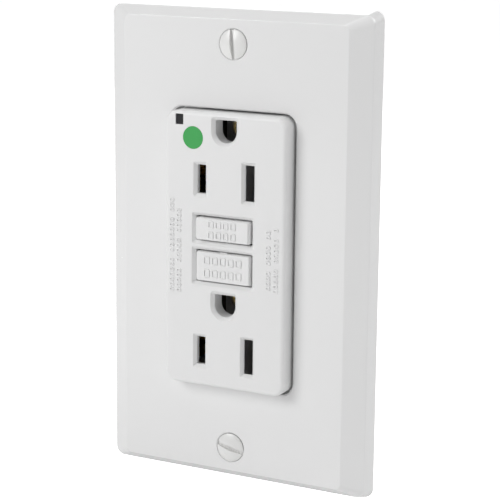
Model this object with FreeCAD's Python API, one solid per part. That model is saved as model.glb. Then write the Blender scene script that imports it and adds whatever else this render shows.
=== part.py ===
"""A duplex ground-fault outlet with its wall plate, modelled as separate parts in millimetres.

The origin is the middle of the wall plate on the wall's surface.  +X is to the right, +Y goes
into the wall and +Z is up, so the face that people see looks along -Y.  The right-hand side is
the neutral side, the left-hand side is the hot side.  The load terminals are the upper pair.
"""
import FreeCAD, Part
import math
import os

Vector = FreeCAD.Vector
X_AXIS, Y_AXIS, Z_AXIS = Vector(1, 0, 0), Vector(0, 1, 0), Vector(0, 0, 1)
LEFT, RIGHT = -1, 1
LOWER, UPPER = -1, 1

# ---- Driving dimensions -------------------------------------------------------------------

# Wall plate
PLATE_WIDTH, PLATE_HEIGHT = 69.85, 114.3
PLATE_FRONT = -6.4
PLATE_RIM = -3.4
PLATE_RIM_INSET = 0.85
PLATE_FLAT_INSET_SIDE, PLATE_FLAT_INSET_END = 5.7, 3.0
PLATE_SKIN = 2.2
PLATE_SCREW_Z = 48.42
OPENING_WIDTH, OPENING_HEIGHT, OPENING_CORNER = 32.7, 66.5, 3.0

# Face and the body behind it
FACE_FRONT = -10.2
FACE_WIDTH, FACE_HEIGHT, FACE_CORNER = 31.7, 65.5, 2.7
FACE_THICKNESS = 2.0
FACE_WALL = 1.5
SHOULDER_FRONT = 1.2
BODY_WIDTH, BODY_HEIGHT, BODY_CORNER = 43.0, 68.6, 2.5
BODY_WALL = 1.6
BODY_SPLIT = 8.0
BODY_BACK = 30.0
BACK_THICKNESS = 2.0

# Plug openings: blades 12.7 apart, the ground hole above each pair
OUTLET_CENTRES_Z = (17.0, -24.3)
BLADE_X = 6.35
BLADE_LEAD_IN = 0.75
HOT_SLOT = (2.2, 6.8)
NEUTRAL_SLOT = (2.3, 8.4)
GROUND_ABOVE_BLADES = 11.6
GROUND_HOLE_HALF_WIDTH = 2.75
GROUND_HOLE_TOP = 2.6
GROUND_LEAD_IN = 0.8
GROUND_COLLAR_WALL, GROUND_COLLAR_BACK = 1.0, -6.05

# Buttons
BUTTON_X = -0.35
TEST_Z, RESET_Z = 5.4, -3.6
TEST_POCKET, RESET_POCKET = (14.9, 6.0), (15.0, 7.7)
POCKET_LEAD_IN = 0.75
TEST_TOP, RESET_TOP = (13.6, 5.0), (13.85, 6.8)
TEST_BASE, RESET_BASE = (14.3, 5.3), (14.35, 7.05)
TEST_PROUD, RESET_PROUD = 0.5, 0.05
TEST_TRAVEL, RESET_TRAVEL = 1.5, 1.8

# Indicator window and the coloured dot beside it
WINDOW_X, WINDOW_Z = -12.0, 30.8
WINDOW = (1.9, 2.35)
DOT_X, DOT_Z, DOT_RADIUS = -8.35, 26.7, 2.65

# Mounting strap and its fasteners
STRAP_THICKNESS = 1.3
EAR_HALF_WIDTH, EAR_INNER_Z, EAR_OUTER_Z = 16.6, 35.2, 53.2
BOX_SCREW_Z = 83.34 / 2
SMALL_SCREW_RADIUS = 3.505 / 2
BOX_SCREW_NECK_RADIUS = 1.4
WEB_HALF_WIDTH, NECK_HALF_WIDTH = 4.2, 10.0

# Ground screw, in the tab bent back from the strap's lower right-hand side
GROUND_TAB_X = 13.0
GROUND_SCREW_Y, GROUND_SCREW_Z = 5.6, -40.75

# Wire terminals
TERMINAL_Z, TERMINAL_Y = 18.5, 16.0
TERMINAL_SCREW_RADIUS = 4.16 / 2
TERMINAL_PLATE_INNER, TERMINAL_PLATE_OUTER = 17.2, 18.0
CLAMP_INNER, CLAMP_OUTER = 13.2, 14.8
WIRE_HOLE_X, WIRE_HOLE_OFFSET, WIRE_HOLE_RADIUS = 15.9, 4.4, 1.5

# Assembly screws in the four corners of the body
CORNERS = [(x, z) for x in (-17.0, 17.0) for z in (-29.8, 29.8)]

# Circuit board and the trip mechanism in front of it
BOARD_FRONT, BOARD_BACK = 26.2, 27.8
BOARD_HALF_WIDTH, BOARD_HALF_HEIGHT = 13.4, 31.0
FLOOR_FRONT, FLOOR_BACK = 9.4, 10.9
SHEET = 0.8
ARM_X, ARM_HALF_WIDTH, ARM_Y, ARM_THICKNESS = 9.0, 1.5, 14.0, 0.5
ARM_PIVOT_Z, ARM_END_Z, RIVET_Z = -16.5, 3.2, 1.2
MECHANISM_Y = 19.4
PIN_HEAD_FRONT = MECHANISM_Y + 0.9
CARRIER_TRAVEL = 1.2
TRANSFORMER_Z = -22.0

EPS = 0.05


# ---- Shape helpers ------------------------------------------------------------------------

def box(x, y, z):
    """A block between two values along each axis, given as (low, high) pairs."""
    size = [high - low for low, high in (x, y, z)]
    return Part.makeBox(*size, Vector(x[0], y[0], z[0]))


def around(centre, half):
    """The (low, high) pair that reaches half to each side of centre."""
    return (centre - half, centre + half)


def rod(axis, start, radius, length):
    """A cylinder from a start point along an axis."""
    return Part.makeCylinder(radius, length, Vector(*start), axis)


def tube(axis, start, outer, inner, length):
    """A round sleeve."""
    return rod(axis, start, outer, length).cut(rod(axis, start, inner, length))


def rounded_outline(width, height, radius, y, centre=(0.0, 0.0)):
    """A rectangle with round corners, in the plane at depth y."""
    half_w, half_h = width / 2, height / 2
    corners = [(1, 1), (-1, 1), (-1, -1), (1, -1)]
    edges = []
    points = []
    for index, (sx, sz) in enumerate(corners):
        cx = centre[0] + sx * (half_w - radius)
        cz = centre[1] + sz * (half_h - radius)
        first = index * math.pi / 2
        arc_points = []
        for angle in (first, first + math.pi / 4, first + math.pi / 2):
            arc_points.append(Vector(cx + radius * math.cos(angle), y, cz + radius * math.sin(angle)))
        points.append(arc_points)
    for index, arc_points in enumerate(points):
        edges.append(Part.Arc(*arc_points).toShape())
        following = points[(index + 1) % 4]
        edges.append(Part.makeLine(arc_points[2], following[0]))
    return Part.Wire(edges)


def rounded_block(width, height, radius, y, centre=(0.0, 0.0)):
    """A block with round corners about the Y axis, between two depths."""
    outline = rounded_outline(width, height, radius, y[0], centre)
    return Part.Face(outline).extrude(Vector(0, y[1] - y[0], 0))


def tapered_block(sections, centre=(0.0, 0.0)):
    """A block with straight sides through (width, height, corner radius, depth) sections."""
    wires = [rounded_outline(w, h, r, y, centre) for w, h, r, y in sections]
    return Part.makeLoft(wires, True, True)


def fuse(shapes):
    """All shapes joined into one."""
    joined = shapes[0].multiFuse(shapes[1:]) if len(shapes) > 1 else shapes[0]
    return joined.removeSplitter()


def group(solids):
    """Separate solids kept together in one part."""
    return Part.makeCompound(solids)


def mirrored_x(shape):
    return shape.mirror(Vector(0, 0, 0), X_AXIS)


def fillet_where(shape, radius, chosen):
    """Round the edges for which chosen(bounding box) is true."""
    edges = [edge for edge in shape.Edges if chosen(edge.BoundBox)]
    return shape.makeFillet(radius, edges)


def spun(profile, axis_point, axis):
    """A solid of revolution from a closed list of points."""
    face = Part.Face(Part.makePolygon(profile + [profile[0]]))
    return face.revolve(axis_point, axis, 360)


def round_wire(points, radius):
    """A bent wire of round section through a list of points."""
    pieces = []
    corners = [Vector(*point) for point in points]
    for first, second in zip(corners, corners[1:]):
        span = second - first
        pieces.append(Part.makeCylinder(radius, span.Length, first, span))
    pieces += [Part.makeSphere(radius, corner) for corner in corners[1:-1]]
    return fuse(pieces)


def pan_head_screw(start, axis, head_radius, head_height, shank_radius, shank_length):
    """A slotted screw; start is under its head and axis points along its shank."""
    dome = 0.45 * head_height
    profile = [Vector(0, 0, -head_height), Vector(head_radius - dome, 0, -head_height),
               Vector(head_radius, 0, -head_height + dome), Vector(head_radius, 0, 0),
               Vector(shank_radius, 0, 0), Vector(shank_radius, 0, shank_length - 0.5),
               Vector(shank_radius - 0.5, 0, shank_length), Vector(0, 0, shank_length)]
    screw = spun(profile, Vector(0, 0, 0), Z_AXIS)
    slot_half, slot_depth = 0.13 * head_radius, 0.45 * head_height
    slot = box((-slot_half, slot_half), (-head_radius - 1, head_radius + 1),
               (-head_height - 1, -head_height + slot_depth))
    screw = screw.cut(slot)
    screw.Placement = FreeCAD.Placement(Vector(*start), FreeCAD.Rotation(Z_AXIS, axis))
    return screw


# ---- Wall plate ---------------------------------------------------------------------------

def plate_section(inset_side, inset_end, corner, y):
    """One outline of the plate, pulled in from its outermost edge."""
    return (PLATE_WIDTH - 2 * inset_side, PLATE_HEIGHT - 2 * inset_end, corner, y)


def wall_plate():
    """A bevelled cover plate, hollow at the back, with a frame round its opening."""
    inset = PLATE_RIM_INSET
    plate = tapered_block([
        plate_section(0, 0, 2.4, 0),
        plate_section(inset, inset, 2.2, PLATE_RIM),
        plate_section(PLATE_FLAT_INSET_SIDE, PLATE_FLAT_INSET_END, 1.6, PLATE_FRONT)])
    hollow = tapered_block([
        plate_section(2.4, 2.4, 1.4, EPS),
        plate_section(inset + 2.2, inset + 2.2, 1.2, -2.4),
        plate_section(PLATE_FLAT_INSET_SIDE + 1.6, PLATE_FLAT_INSET_END + 2.2, 0.8,
                      PLATE_FRONT + PLATE_SKIN)])
    plate = plate.cut(hollow)

    inside = PLATE_FRONT + PLATE_SKIN - EPS
    stiffeners = [rounded_block(OPENING_WIDTH + 3.2, OPENING_HEIGHT + 3.2, OPENING_CORNER + 1.6,
                                (inside, -2.0))]
    rib_reach = PLATE_WIDTH / 2 - 3.5
    for rib_z in (-26, -9, 9, 26):
        stiffeners.append(box((-rib_reach, rib_reach), (inside, -2.8), around(rib_z, 0.5)))
    for post_x in (-28.5, 28.5):
        for post_z in (-49.0, 49.0):
            stiffeners.append(rod(Y_AXIS, (post_x, inside, post_z), 1.7, -inside))
    for screw_z in (-PLATE_SCREW_Z, PLATE_SCREW_Z):
        stiffeners.append(rod(Y_AXIS, (0, inside, screw_z), 3.1, -1.4 - inside))
    plate = fuse([plate] + stiffeners)

    lip = 0.35
    cuts = [rounded_block(OPENING_WIDTH, OPENING_HEIGHT, OPENING_CORNER, (PLATE_FRONT - 1, 1)),
            tapered_block([
                (OPENING_WIDTH + 2 * lip, OPENING_HEIGHT + 2 * lip, OPENING_CORNER + lip,
                 PLATE_FRONT - EPS),
                (OPENING_WIDTH, OPENING_HEIGHT, OPENING_CORNER, PLATE_FRONT + lip)])]
    for screw_z in (-PLATE_SCREW_Z, PLATE_SCREW_Z):
        cuts.append(rod(Y_AXIS, (0, PLATE_FRONT - 1, screw_z), 1.9, 8))
        cuts.append(Part.makeCone(3.75, 1.85, 2.15, Vector(0, PLATE_FRONT - EPS, screw_z), Y_AXIS))
    return plate.cut(group(cuts)).removeSplitter()


def plate_screw(screw_z, slot_angle):
    """An oval-head slotted screw that holds the plate to the strap."""
    head_radius, rim_y, dome_height = 3.5, PLATE_FRONT, 0.75
    cone_end = rim_y + 1.95
    tip = 9.5
    dome_radius = (head_radius ** 2 + dome_height ** 2) / (2 * dome_height)
    half_angle = math.asin(head_radius / dome_radius)
    dome = []
    steps = 12
    for step in range(steps):
        angle = half_angle * step / steps
        height = dome_radius * math.cos(angle) - (dome_radius - dome_height)
        dome.append(Vector(dome_radius * math.sin(angle), rim_y - height, screw_z))
    shank = SMALL_SCREW_RADIUS
    profile = dome + [
        Vector(head_radius, rim_y, screw_z), Vector(head_radius, rim_y + 0.2, screw_z),
        Vector(shank, cone_end, screw_z), Vector(shank, tip - 0.5, screw_z),
        Vector(shank - 0.5, tip, screw_z), Vector(0, tip, screw_z)]
    screw = spun(profile, Vector(0, 0, screw_z), Y_AXIS)
    slot = box((-5, 5), (rim_y - 2, rim_y + 0.35), (-0.5, 0.5))
    slot.rotate(Vector(0, 0, 0), Y_AXIS, slot_angle)
    slot.translate(Vector(0, 0, screw_z))
    return screw.cut(slot)


def plate_screws():
    return group([plate_screw(PLATE_SCREW_Z, 85), plate_screw(-PLATE_SCREW_Z, 14)])


# ---- Front of the device ------------------------------------------------------------------

def ground_z(blade_z):
    """The height of the round part of the ground hole above a pair of blades."""
    return blade_z + GROUND_ABOVE_BLADES


def ground_outline(half_width, top, blade_z, y):
    """A hole with a round bottom and a flat top."""
    centre = ground_z(blade_z)
    right, left = Vector(half_width, y, centre), Vector(-half_width, y, centre)
    upper_right, upper_left = Vector(half_width, y, centre + top), Vector(-half_width, y, centre + top)
    arc = Part.Arc(left, Vector(0, y, centre - half_width), right).toShape()
    return Part.Wire([arc, Part.makeLine(right, upper_right), Part.makeLine(upper_right, upper_left),
                      Part.makeLine(upper_left, left)])


def ground_collar(blade_z):
    """The wall that guides a ground pin behind the face."""
    start = FACE_FRONT + FACE_THICKNESS - EPS
    outline = ground_outline(GROUND_HOLE_HALF_WIDTH + GROUND_COLLAR_WALL,
                             GROUND_HOLE_TOP + GROUND_COLLAR_WALL, blade_z, start)
    return Part.Face(outline).extrude(Vector(0, GROUND_COLLAR_BACK - start, 0))


def ground_hole(blade_z):
    """The ground hole through the face and its collar, with a bevelled mouth."""
    start, end = FACE_FRONT - 1, GROUND_COLLAR_BACK + 1
    outline = ground_outline(GROUND_HOLE_HALF_WIDTH, GROUND_HOLE_TOP, blade_z, start)
    through = Part.Face(outline).extrude(Vector(0, end - start, 0))
    wide = GROUND_HOLE_HALF_WIDTH + GROUND_LEAD_IN
    mouth = Part.makeLoft([
        ground_outline(wide, GROUND_HOLE_TOP + GROUND_LEAD_IN, blade_z, FACE_FRONT),
        ground_outline(GROUND_HOLE_HALF_WIDTH, GROUND_HOLE_TOP, blade_z,
                       FACE_FRONT + GROUND_LEAD_IN)], True, True)
    return [through, mouth]


def bevelled_hole(size, corner, lead_in, centre):
    """A rectangular hole through the face, with its bevelled mouth."""
    width, height = size
    through = rounded_block(width, height, corner,
                            (FACE_FRONT - 1, FACE_FRONT + FACE_THICKNESS + 1), centre)
    mouth = tapered_block([
        (width + 2 * lead_in, height + 2 * lead_in, corner + 0.1, FACE_FRONT),
        (width, height, corner, FACE_FRONT + lead_in)], centre)
    return [through, mouth]


def face_cover():
    """The raised face and the wide shoulder behind it, open at the back."""
    face = rounded_block(FACE_WIDTH, FACE_HEIGHT, FACE_CORNER, (FACE_FRONT, SHOULDER_FRONT + 1))
    face = fillet_where(face, 0.95, lambda bound: bound.YMax < FACE_FRONT + EPS)
    shoulder = rounded_block(BODY_WIDTH, BODY_HEIGHT, BODY_CORNER, (SHOULDER_FRONT, BODY_SPLIT))
    cover = fuse([face, shoulder])

    inside_half_w, inside_half_h = FACE_WIDTH / 2 - FACE_WALL, FACE_HEIGHT / 2 - FACE_WALL
    shoulder_back = SHOULDER_FRONT + BODY_WALL
    cuts = [box((-inside_half_w, inside_half_w), (FACE_FRONT + FACE_THICKNESS, shoulder_back + 1),
                (-inside_half_h, inside_half_h)),
            box((-BODY_WIDTH / 2 + BODY_WALL, BODY_WIDTH / 2 - BODY_WALL),
                (shoulder_back, BODY_SPLIT + 1),
                (-BODY_HEIGHT / 2 + BODY_WALL, BODY_HEIGHT / 2 - BODY_WALL))]
    cover = cover.cut(fuse(cuts))

    posts = []
    for x, z in CORNERS:
        posts.append(rod(Y_AXIS, (x, shoulder_back - 0.5, z), 2.6, BODY_SPLIT - shoulder_back + 0.5))
    collars = [ground_collar(blade_z) for blade_z in OUTLET_CENTRES_Z]
    cover = fuse([cover] + posts + collars)

    neck = NECK_HALF_WIDTH + 0.3
    cuts = []
    for side in (LOWER, UPPER):
        ends = sorted((side * (inside_half_h - 0.1), side * (BODY_HEIGHT / 2 + 1)))
        cuts.append(box((-neck, neck), (-STRAP_THICKNESS - 0.15, BODY_SPLIT + 1), ends))
    for x, z in CORNERS:
        cuts.append(rod(Y_AXIS, (x, 3.6, z), 1.3, BODY_SPLIT))
    for blade_z in OUTLET_CENTRES_Z:
        cuts += bevelled_hole(HOT_SLOT, 0.15, BLADE_LEAD_IN, (-BLADE_X, blade_z))
        cuts += bevelled_hole(NEUTRAL_SLOT, 0.15, BLADE_LEAD_IN, (BLADE_X, blade_z))
        cuts += ground_hole(blade_z)
    cuts += bevelled_hole(TEST_POCKET, 0.3, POCKET_LEAD_IN, (BUTTON_X, TEST_Z))
    cuts += bevelled_hole(RESET_POCKET, 0.3, POCKET_LEAD_IN, (BUTTON_X, RESET_Z))
    cuts.append(box(around(WINDOW_X, WINDOW[0] / 2 + EPS), (FACE_FRONT - 1, BODY_SPLIT + 1),
                    around(WINDOW_Z, WINDOW[1] / 2 + EPS)))
    cuts.append(rod(Y_AXIS, (DOT_X, FACE_FRONT - 1, DOT_Z), DOT_RADIUS + 0.02, 1.25))
    for cut in cuts:
        cover = cover.cut(cut)
    return cover.removeSplitter()


def green_dot():
    """A thin coloured disc set into the face."""
    return rod(Y_AXIS, (DOT_X, FACE_FRONT - 0.03, DOT_Z), DOT_RADIUS, 0.27)


def indicator_light_pipe():
    """A clear bar that carries the lamp's light to the window."""
    back = 19.6
    return box(around(WINDOW_X, WINDOW[0] / 2), (FACE_FRONT + 0.12, back),
               around(WINDOW_Z, WINDOW[1] / 2))


def button_cap(top, base, proud, centre_z, tab_front):
    """A push button with sloped sides and a stop tab at each end."""
    front = FACE_FRONT - proud
    slope_end = front + 0.8
    skirt_end = -5.0
    cap = tapered_block([(top[0], top[1], 0.5, front), (base[0], base[1], 0.5, slope_end),
                         (base[0], base[1], 0.5, skirt_end)], (BUTTON_X, centre_z))
    tabs = box((BUTTON_X - 8.7, BUTTON_X + 8.7), (tab_front, tab_front + 1.1),
               around(centre_z, 1.6))
    return fuse([cap, tabs])


def test_button():
    """The test button, with the stem that pushes the test spring arm."""
    inner_stop = FACE_FRONT + FACE_THICKNESS
    cap = button_cap(TEST_TOP, TEST_BASE, TEST_PROUD, TEST_Z, inner_stop + EPS)
    tip_centre, tip_radius = 1.55, 1.2
    stem = rod(Y_AXIS, (0, -6, TEST_Z), tip_radius, 6 + tip_centre)
    tip = Part.makeSphere(tip_radius, Vector(0, tip_centre, TEST_Z))
    return fuse([cap, stem, tip])


def reset_button():
    """The reset button, with a socket for its pin and a small rib on its upper edge."""
    inner_stop = FACE_FRONT + FACE_THICKNESS
    cap = button_cap(RESET_TOP, RESET_BASE, RESET_PROUD, RESET_Z, inner_stop + RESET_TRAVEL + EPS)
    rib_top = RESET_Z + RESET_BASE[1] / 2 + 0.12
    rib = box(around(BUTTON_X, 0.9), (FACE_FRONT + 0.5, -5.0), (RESET_Z, rib_top))
    socket = rod(Y_AXIS, (0, -8.0, RESET_Z), 1.22, 4)
    return fuse([cap, rib]).cut(socket)


def reset_pin():
    """The steel pin that hangs from the reset button, with the head that the latch holds."""
    shaft = rod(Y_AXIS, (0, -7.9, RESET_Z), 1.2, PIN_HEAD_FRONT + 7.9)
    head = rod(Y_AXIS, (0, PIN_HEAD_FRONT, RESET_Z), 1.9, 1.0)
    return fuse([shaft, head])


def reset_spring():
    """The space of the coil spring under the reset button, on the middle housing's floor."""
    start, end = -4.95, FLOOR_FRONT - EPS
    return tube(Y_AXIS, (0, start, RESET_Z), 2.68, 2.12, end - start)


# ---- Mounting strap -----------------------------------------------------------------------

def mounting_strap():
    """The steel strap: two ears, a web with a window for the buttons, and the ground tab."""
    sheet = (-STRAP_THICKNESS, 0)
    plates = []
    for side in (LOWER, UPPER):
        ear = rounded_block(2 * EAR_HALF_WIDTH, EAR_OUTER_Z - EAR_INNER_Z, 2.5, sheet,
                            (0, side * (EAR_INNER_Z + EAR_OUTER_Z) / 2))
        neck = box((-NECK_HALF_WIDTH, NECK_HALF_WIDTH), sheet,
                   sorted((side * 30.2, side * (EAR_INNER_Z + 1))))
        plates += [ear, neck]
    plates.append(box((-WEB_HALF_WIDTH, WEB_HALF_WIDTH), sheet, (-31, 31)))
    plates.append(box((-12.2, 12.2), sheet, (-11.0, 12.2)))
    tab_x = (GROUND_TAB_X, GROUND_TAB_X + STRAP_THICKNESS)
    plates.append(box(tab_x, (-STRAP_THICKNESS, 10.5), (-45.0, -36.5)))
    strap = fuse(plates)

    cuts = [box((-9.3, 9.3), (-5, 5), (-8.6, 9.9)),
            box((tab_x[1], 20), (-5, 1), (-45.3, -36.2)),
            rod(X_AXIS, (10, GROUND_SCREW_Y, GROUND_SCREW_Z), TERMINAL_SCREW_RADIUS + 0.03, 8)]
    for side in (LOWER, UPPER):
        cuts.append(rod(Y_AXIS, (0, -5, side * PLATE_SCREW_Z), SMALL_SCREW_RADIUS + 0.01, 10))
        cuts.append(rounded_block(7.6, 4.0, 1.99, (-5, 5), (0, side * BOX_SCREW_Z)))
    for blade_z in OUTLET_CENTRES_Z:
        cuts.append(rod(Y_AXIS, (0, -5, ground_z(blade_z)), 2.8, 10))
    strap = strap.cut(group(cuts)).removeSplitter()
    bend = STRAP_THICKNESS - 0.1
    return fillet_where(strap, bend, lambda bound: bound.XMin > tab_x[1] - EPS
                        and bound.XMax < tab_x[1] + EPS and bound.YMax < -STRAP_THICKNESS + EPS
                        and bound.ZMax < -36)


def screw_retainers():
    """Nylon inserts that keep the box screws in the strap's slots."""
    inserts = []
    for side in (LOWER, UPPER):
        insert = rounded_block(4.4, 3.8, 0.5, (-STRAP_THICKNESS + EPS, -EPS),
                               (0, side * BOX_SCREW_Z))
        hole = rod(Y_AXIS, (0, -5, side * BOX_SCREW_Z), BOX_SCREW_NECK_RADIUS, 10)
        inserts.append(insert.cut(hole))
    return group(inserts)


def box_screws():
    """The two screws that fasten the strap to a wall box, necked where the inserts hold them."""
    screws = []
    for side in (LOWER, UPPER):
        under_head = (0, -STRAP_THICKNESS - 0.02, side * BOX_SCREW_Z)
        screw = pan_head_screw(under_head, Y_AXIS, 3.4, 1.9, SMALL_SCREW_RADIUS, 25.0)
        neck = tube(Y_AXIS, under_head, SMALL_SCREW_RADIUS + 1, BOX_SCREW_NECK_RADIUS,
                    STRAP_THICKNESS + 0.3)
        screws.append(screw.cut(neck))
    return group(screws)


def ground_contact(blade_z):
    """A two-leaf socket for a ground pin, under the strap."""
    centre = ground_z(blade_z)
    flange = rounded_block(8.2, 6.6, 1.0, (0.02, 0.6), (0, centre))
    socket = rod(Y_AXIS, (0, 0.5, centre), 3.0, 10.0)
    bore = rod(Y_AXIS, (0, -1, centre), 2.55, 20)
    slit = box((-4, 4), (1.4, 12), around(centre, 0.6))
    return fuse([flange, socket]).cut(bore).cut(slit)


def ground_clamp():
    """The square plate under the ground screw's head."""
    outer_face = GROUND_TAB_X + STRAP_THICKNESS
    plate = box((outer_face + 0.02, outer_face + 1.22), around(GROUND_SCREW_Y, 4.2),
                around(GROUND_SCREW_Z, 4.2))
    return plate.cut(rod(X_AXIS, (10, GROUND_SCREW_Y, GROUND_SCREW_Z), TERMINAL_SCREW_RADIUS + 0.04, 10))


def ground_screw():
    """The green ground screw, threaded into the strap's tab."""
    under_head = GROUND_TAB_X + STRAP_THICKNESS + 1.26
    return pan_head_screw((under_head, GROUND_SCREW_Y, GROUND_SCREW_Z), Vector(-1, 0, 0), 4.0, 2.2,
                          TERMINAL_SCREW_RADIUS, 8.5)


# ---- Contacts and terminals ---------------------------------------------------------------

def terminal_hole(z):
    return rod(X_AXIS, (5, TERMINAL_Y, z), TERMINAL_SCREW_RADIUS + 0.25, 20)


def face_contacts():
    """The neutral side's brass strip: two blade sockets, the load terminal, the fixed contact."""
    bus = (CLAMP_INNER, CLAMP_INNER + SHEET)
    strip_back = FLOOR_FRONT - 0.2
    shelf = (strip_back - SHEET, strip_back)
    pieces = [box(bus, (2.0, strip_back), (-29.5, 24.0))]
    leaf_gap, leaf = 0.87, 0.5
    for blade_z in OUTLET_CENTRES_Z:
        width = around(blade_z, 2.6)
        inner = (BLADE_X - leaf_gap - leaf, BLADE_X - leaf_gap)
        outer = (BLADE_X + leaf_gap, BLADE_X + leaf_gap + leaf)
        pieces += [box((inner[0], bus[1]), shelf, width), box(inner, (-4.5, strip_back), width),
                   box(outer, (-4.5, strip_back), width)]
    plate_x = (TERMINAL_PLATE_INNER, TERMINAL_PLATE_OUTER)
    pieces += [box((bus[0], plate_x[1]), shelf, around(TERMINAL_Z, 2.3)),
               box(plate_x, (shelf[0], 21.8), around(TERMINAL_Z, 5.2))]
    contact_z = around(RIVET_Z, 2.0)
    tab = (11.6, 12.4)
    pieces += [box(bus, (shelf[0], tab[1]), contact_z),
               box((ARM_X - ARM_HALF_WIDTH, bus[1]), tab, contact_z),
               rod(Y_AXIS, (ARM_X, tab[1] - EPS, RIVET_Z), 1.4, 0.7 + EPS)]
    return fuse(pieces).cut(terminal_hole(TERMINAL_Z))


def line_terminal():
    """The neutral side's line terminal plate, with its foot on the circuit board."""
    plate_x = (TERMINAL_PLATE_INNER, TERMINAL_PLATE_OUTER)
    foot_z = around(-TERMINAL_Z, 1.2)
    plate = box(plate_x, (FLOOR_FRONT, 21.8), around(-TERMINAL_Z, 5.2))
    shelf = box((12.6, plate_x[1]), (21.2, 22.0), foot_z)
    foot = box((12.6, 13.2), (21.2, BOARD_FRONT), foot_z)
    return fuse([plate, shelf, foot]).cut(terminal_hole(-TERMINAL_Z))


def wire_clamp(side, end):
    """The threaded plate that pulls a pair of wires against a terminal plate."""
    centre = end * TERMINAL_Z
    plate = box((CLAMP_INNER, CLAMP_OUTER), around(TERMINAL_Y, 4.8), around(centre, 5.1))
    for wire_z in (centre - WIRE_HOLE_OFFSET, centre + WIRE_HOLE_OFFSET):
        groove = rod(Y_AXIS, (CLAMP_OUTER + 0.75, 0, wire_z), 1.1, 30)
        plate = plate.cut(groove)
    plate = plate.cut(rod(X_AXIS, (5, TERMINAL_Y, centre), TERMINAL_SCREW_RADIUS + 0.03, 20))
    return mirrored_x(plate) if side == LEFT else plate


def terminal_screw(side, end):
    """A terminal screw: its head bears on the terminal plate, its thread is in the clamp."""
    start = (side * (TERMINAL_PLATE_OUTER + 0.03), TERMINAL_Y, end * TERMINAL_Z)
    return pan_head_screw(start, Vector(-side, 0, 0), 4.1, 2.8, TERMINAL_SCREW_RADIUS, 6.2)


def line_conductors():
    """The two wires from the board through the transformers to the movable contact arms."""
    wires = []
    front = ARM_Y
    for side in (LEFT, RIGHT):
        path = [(side * 1.3, BOARD_FRONT, TRANSFORMER_Z), (side * 1.3, front, TRANSFORMER_Z),
                (side * ARM_X, front, TRANSFORMER_Z), (side * ARM_X, front, ARM_PIVOT_Z - 1.1)]
        wires.append(round_wire(path, 0.8))
    return group(wires)


def contact_arm(side):
    """A spring arm with a contact rivet; its root end rolls round the pivot."""
    centre = side * ARM_X
    width = around(centre, ARM_HALF_WIDTH)
    front, back = ARM_Y - ARM_THICKNESS / 2, ARM_Y + ARM_THICKNESS / 2
    blade = box(width, (front, back), (ARM_PIVOT_Z, ARM_END_Z))
    knuckle = rod(X_AXIS, (width[0], ARM_Y, ARM_PIVOT_Z), 0.7, 2 * ARM_HALF_WIDTH)
    rivet = rod(Y_AXIS, (centre, front - 0.64, RIVET_Z), 1.4, 0.64 + EPS)
    tail = rod(Y_AXIS, (centre, back - EPS, RIVET_Z), 1.0, 0.35 + EPS)
    return fuse([blade, knuckle, rivet, tail])


# ---- Plastic inside -----------------------------------------------------------------------

def middle_housing():
    """The tray between the strap and the circuit board, which carries the face contacts."""
    floor = (FLOOR_FRONT, FLOOR_BACK)
    pieces = [box((-16.6, 16.6), floor, (-32.2, 32.2))]
    for side in (LEFT, RIGHT):
        pieces.append(box(sorted((side * 15.2, side * 16.6)), (3.0, floor[1]), (-26, 26)))
    for end in (LOWER, UPPER):
        pieces.append(box((-10, 10), (3.0, floor[1]), sorted((end * 31.0, end * 32.2))))
        pieces.append(box((-10, 10), (0.1, BODY_SPLIT - EPS), sorted((end * 32.0, end * 34.0))))
    pieces += [box((-3, 3), (EPS, floor[1]), (20.0, 24.0)),
               box((-3, 3), (EPS, floor[1]), (-27.0, -20.0)),
               rod(Y_AXIS, (0, 7.4, RESET_Z), 4.0, floor[1] - 7.4),
               box((5.6, 8.0), (3.75, floor[1]), around(TEST_Z, 1.4))]
    tray = fuse(pieces)

    cuts = [rod(Y_AXIS, (0, 0, RESET_Z), 1.5, 20), rod(Y_AXIS, (0, 5, RESET_Z), 3.1, 4.4),
            rod(Y_AXIS, (-4.5, 5, TEST_Z), 0.75, 20),
            box(around(WINDOW_X, WINDOW[0] / 2 + 0.2), (0, 20), around(WINDOW_Z, WINDOW[1] / 2 + 0.2))]
    for side in (LEFT, RIGHT):
        cuts.append(box(sorted((side * 12.9, side * 14.3)), (0, 20), around(RIVET_Z, 2.3)))
        cuts.append(box(sorted((side * 15.0, side * 17.0)), (8.2, FLOOR_FRONT),
                        around(TERMINAL_Z, 2.6)))
        for end in (LOWER, UPPER):
            cuts.append(box(sorted((side * 13.6, side * 17)), (0, 20), sorted((end * 26.2, end * 33))))
    for blade_z in OUTLET_CENTRES_Z:
        cuts.append(rod(Y_AXIS, (0, 2.5, ground_z(blade_z)), 3.4, 20))
    return tray.cut(group(cuts)).removeSplitter()


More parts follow.
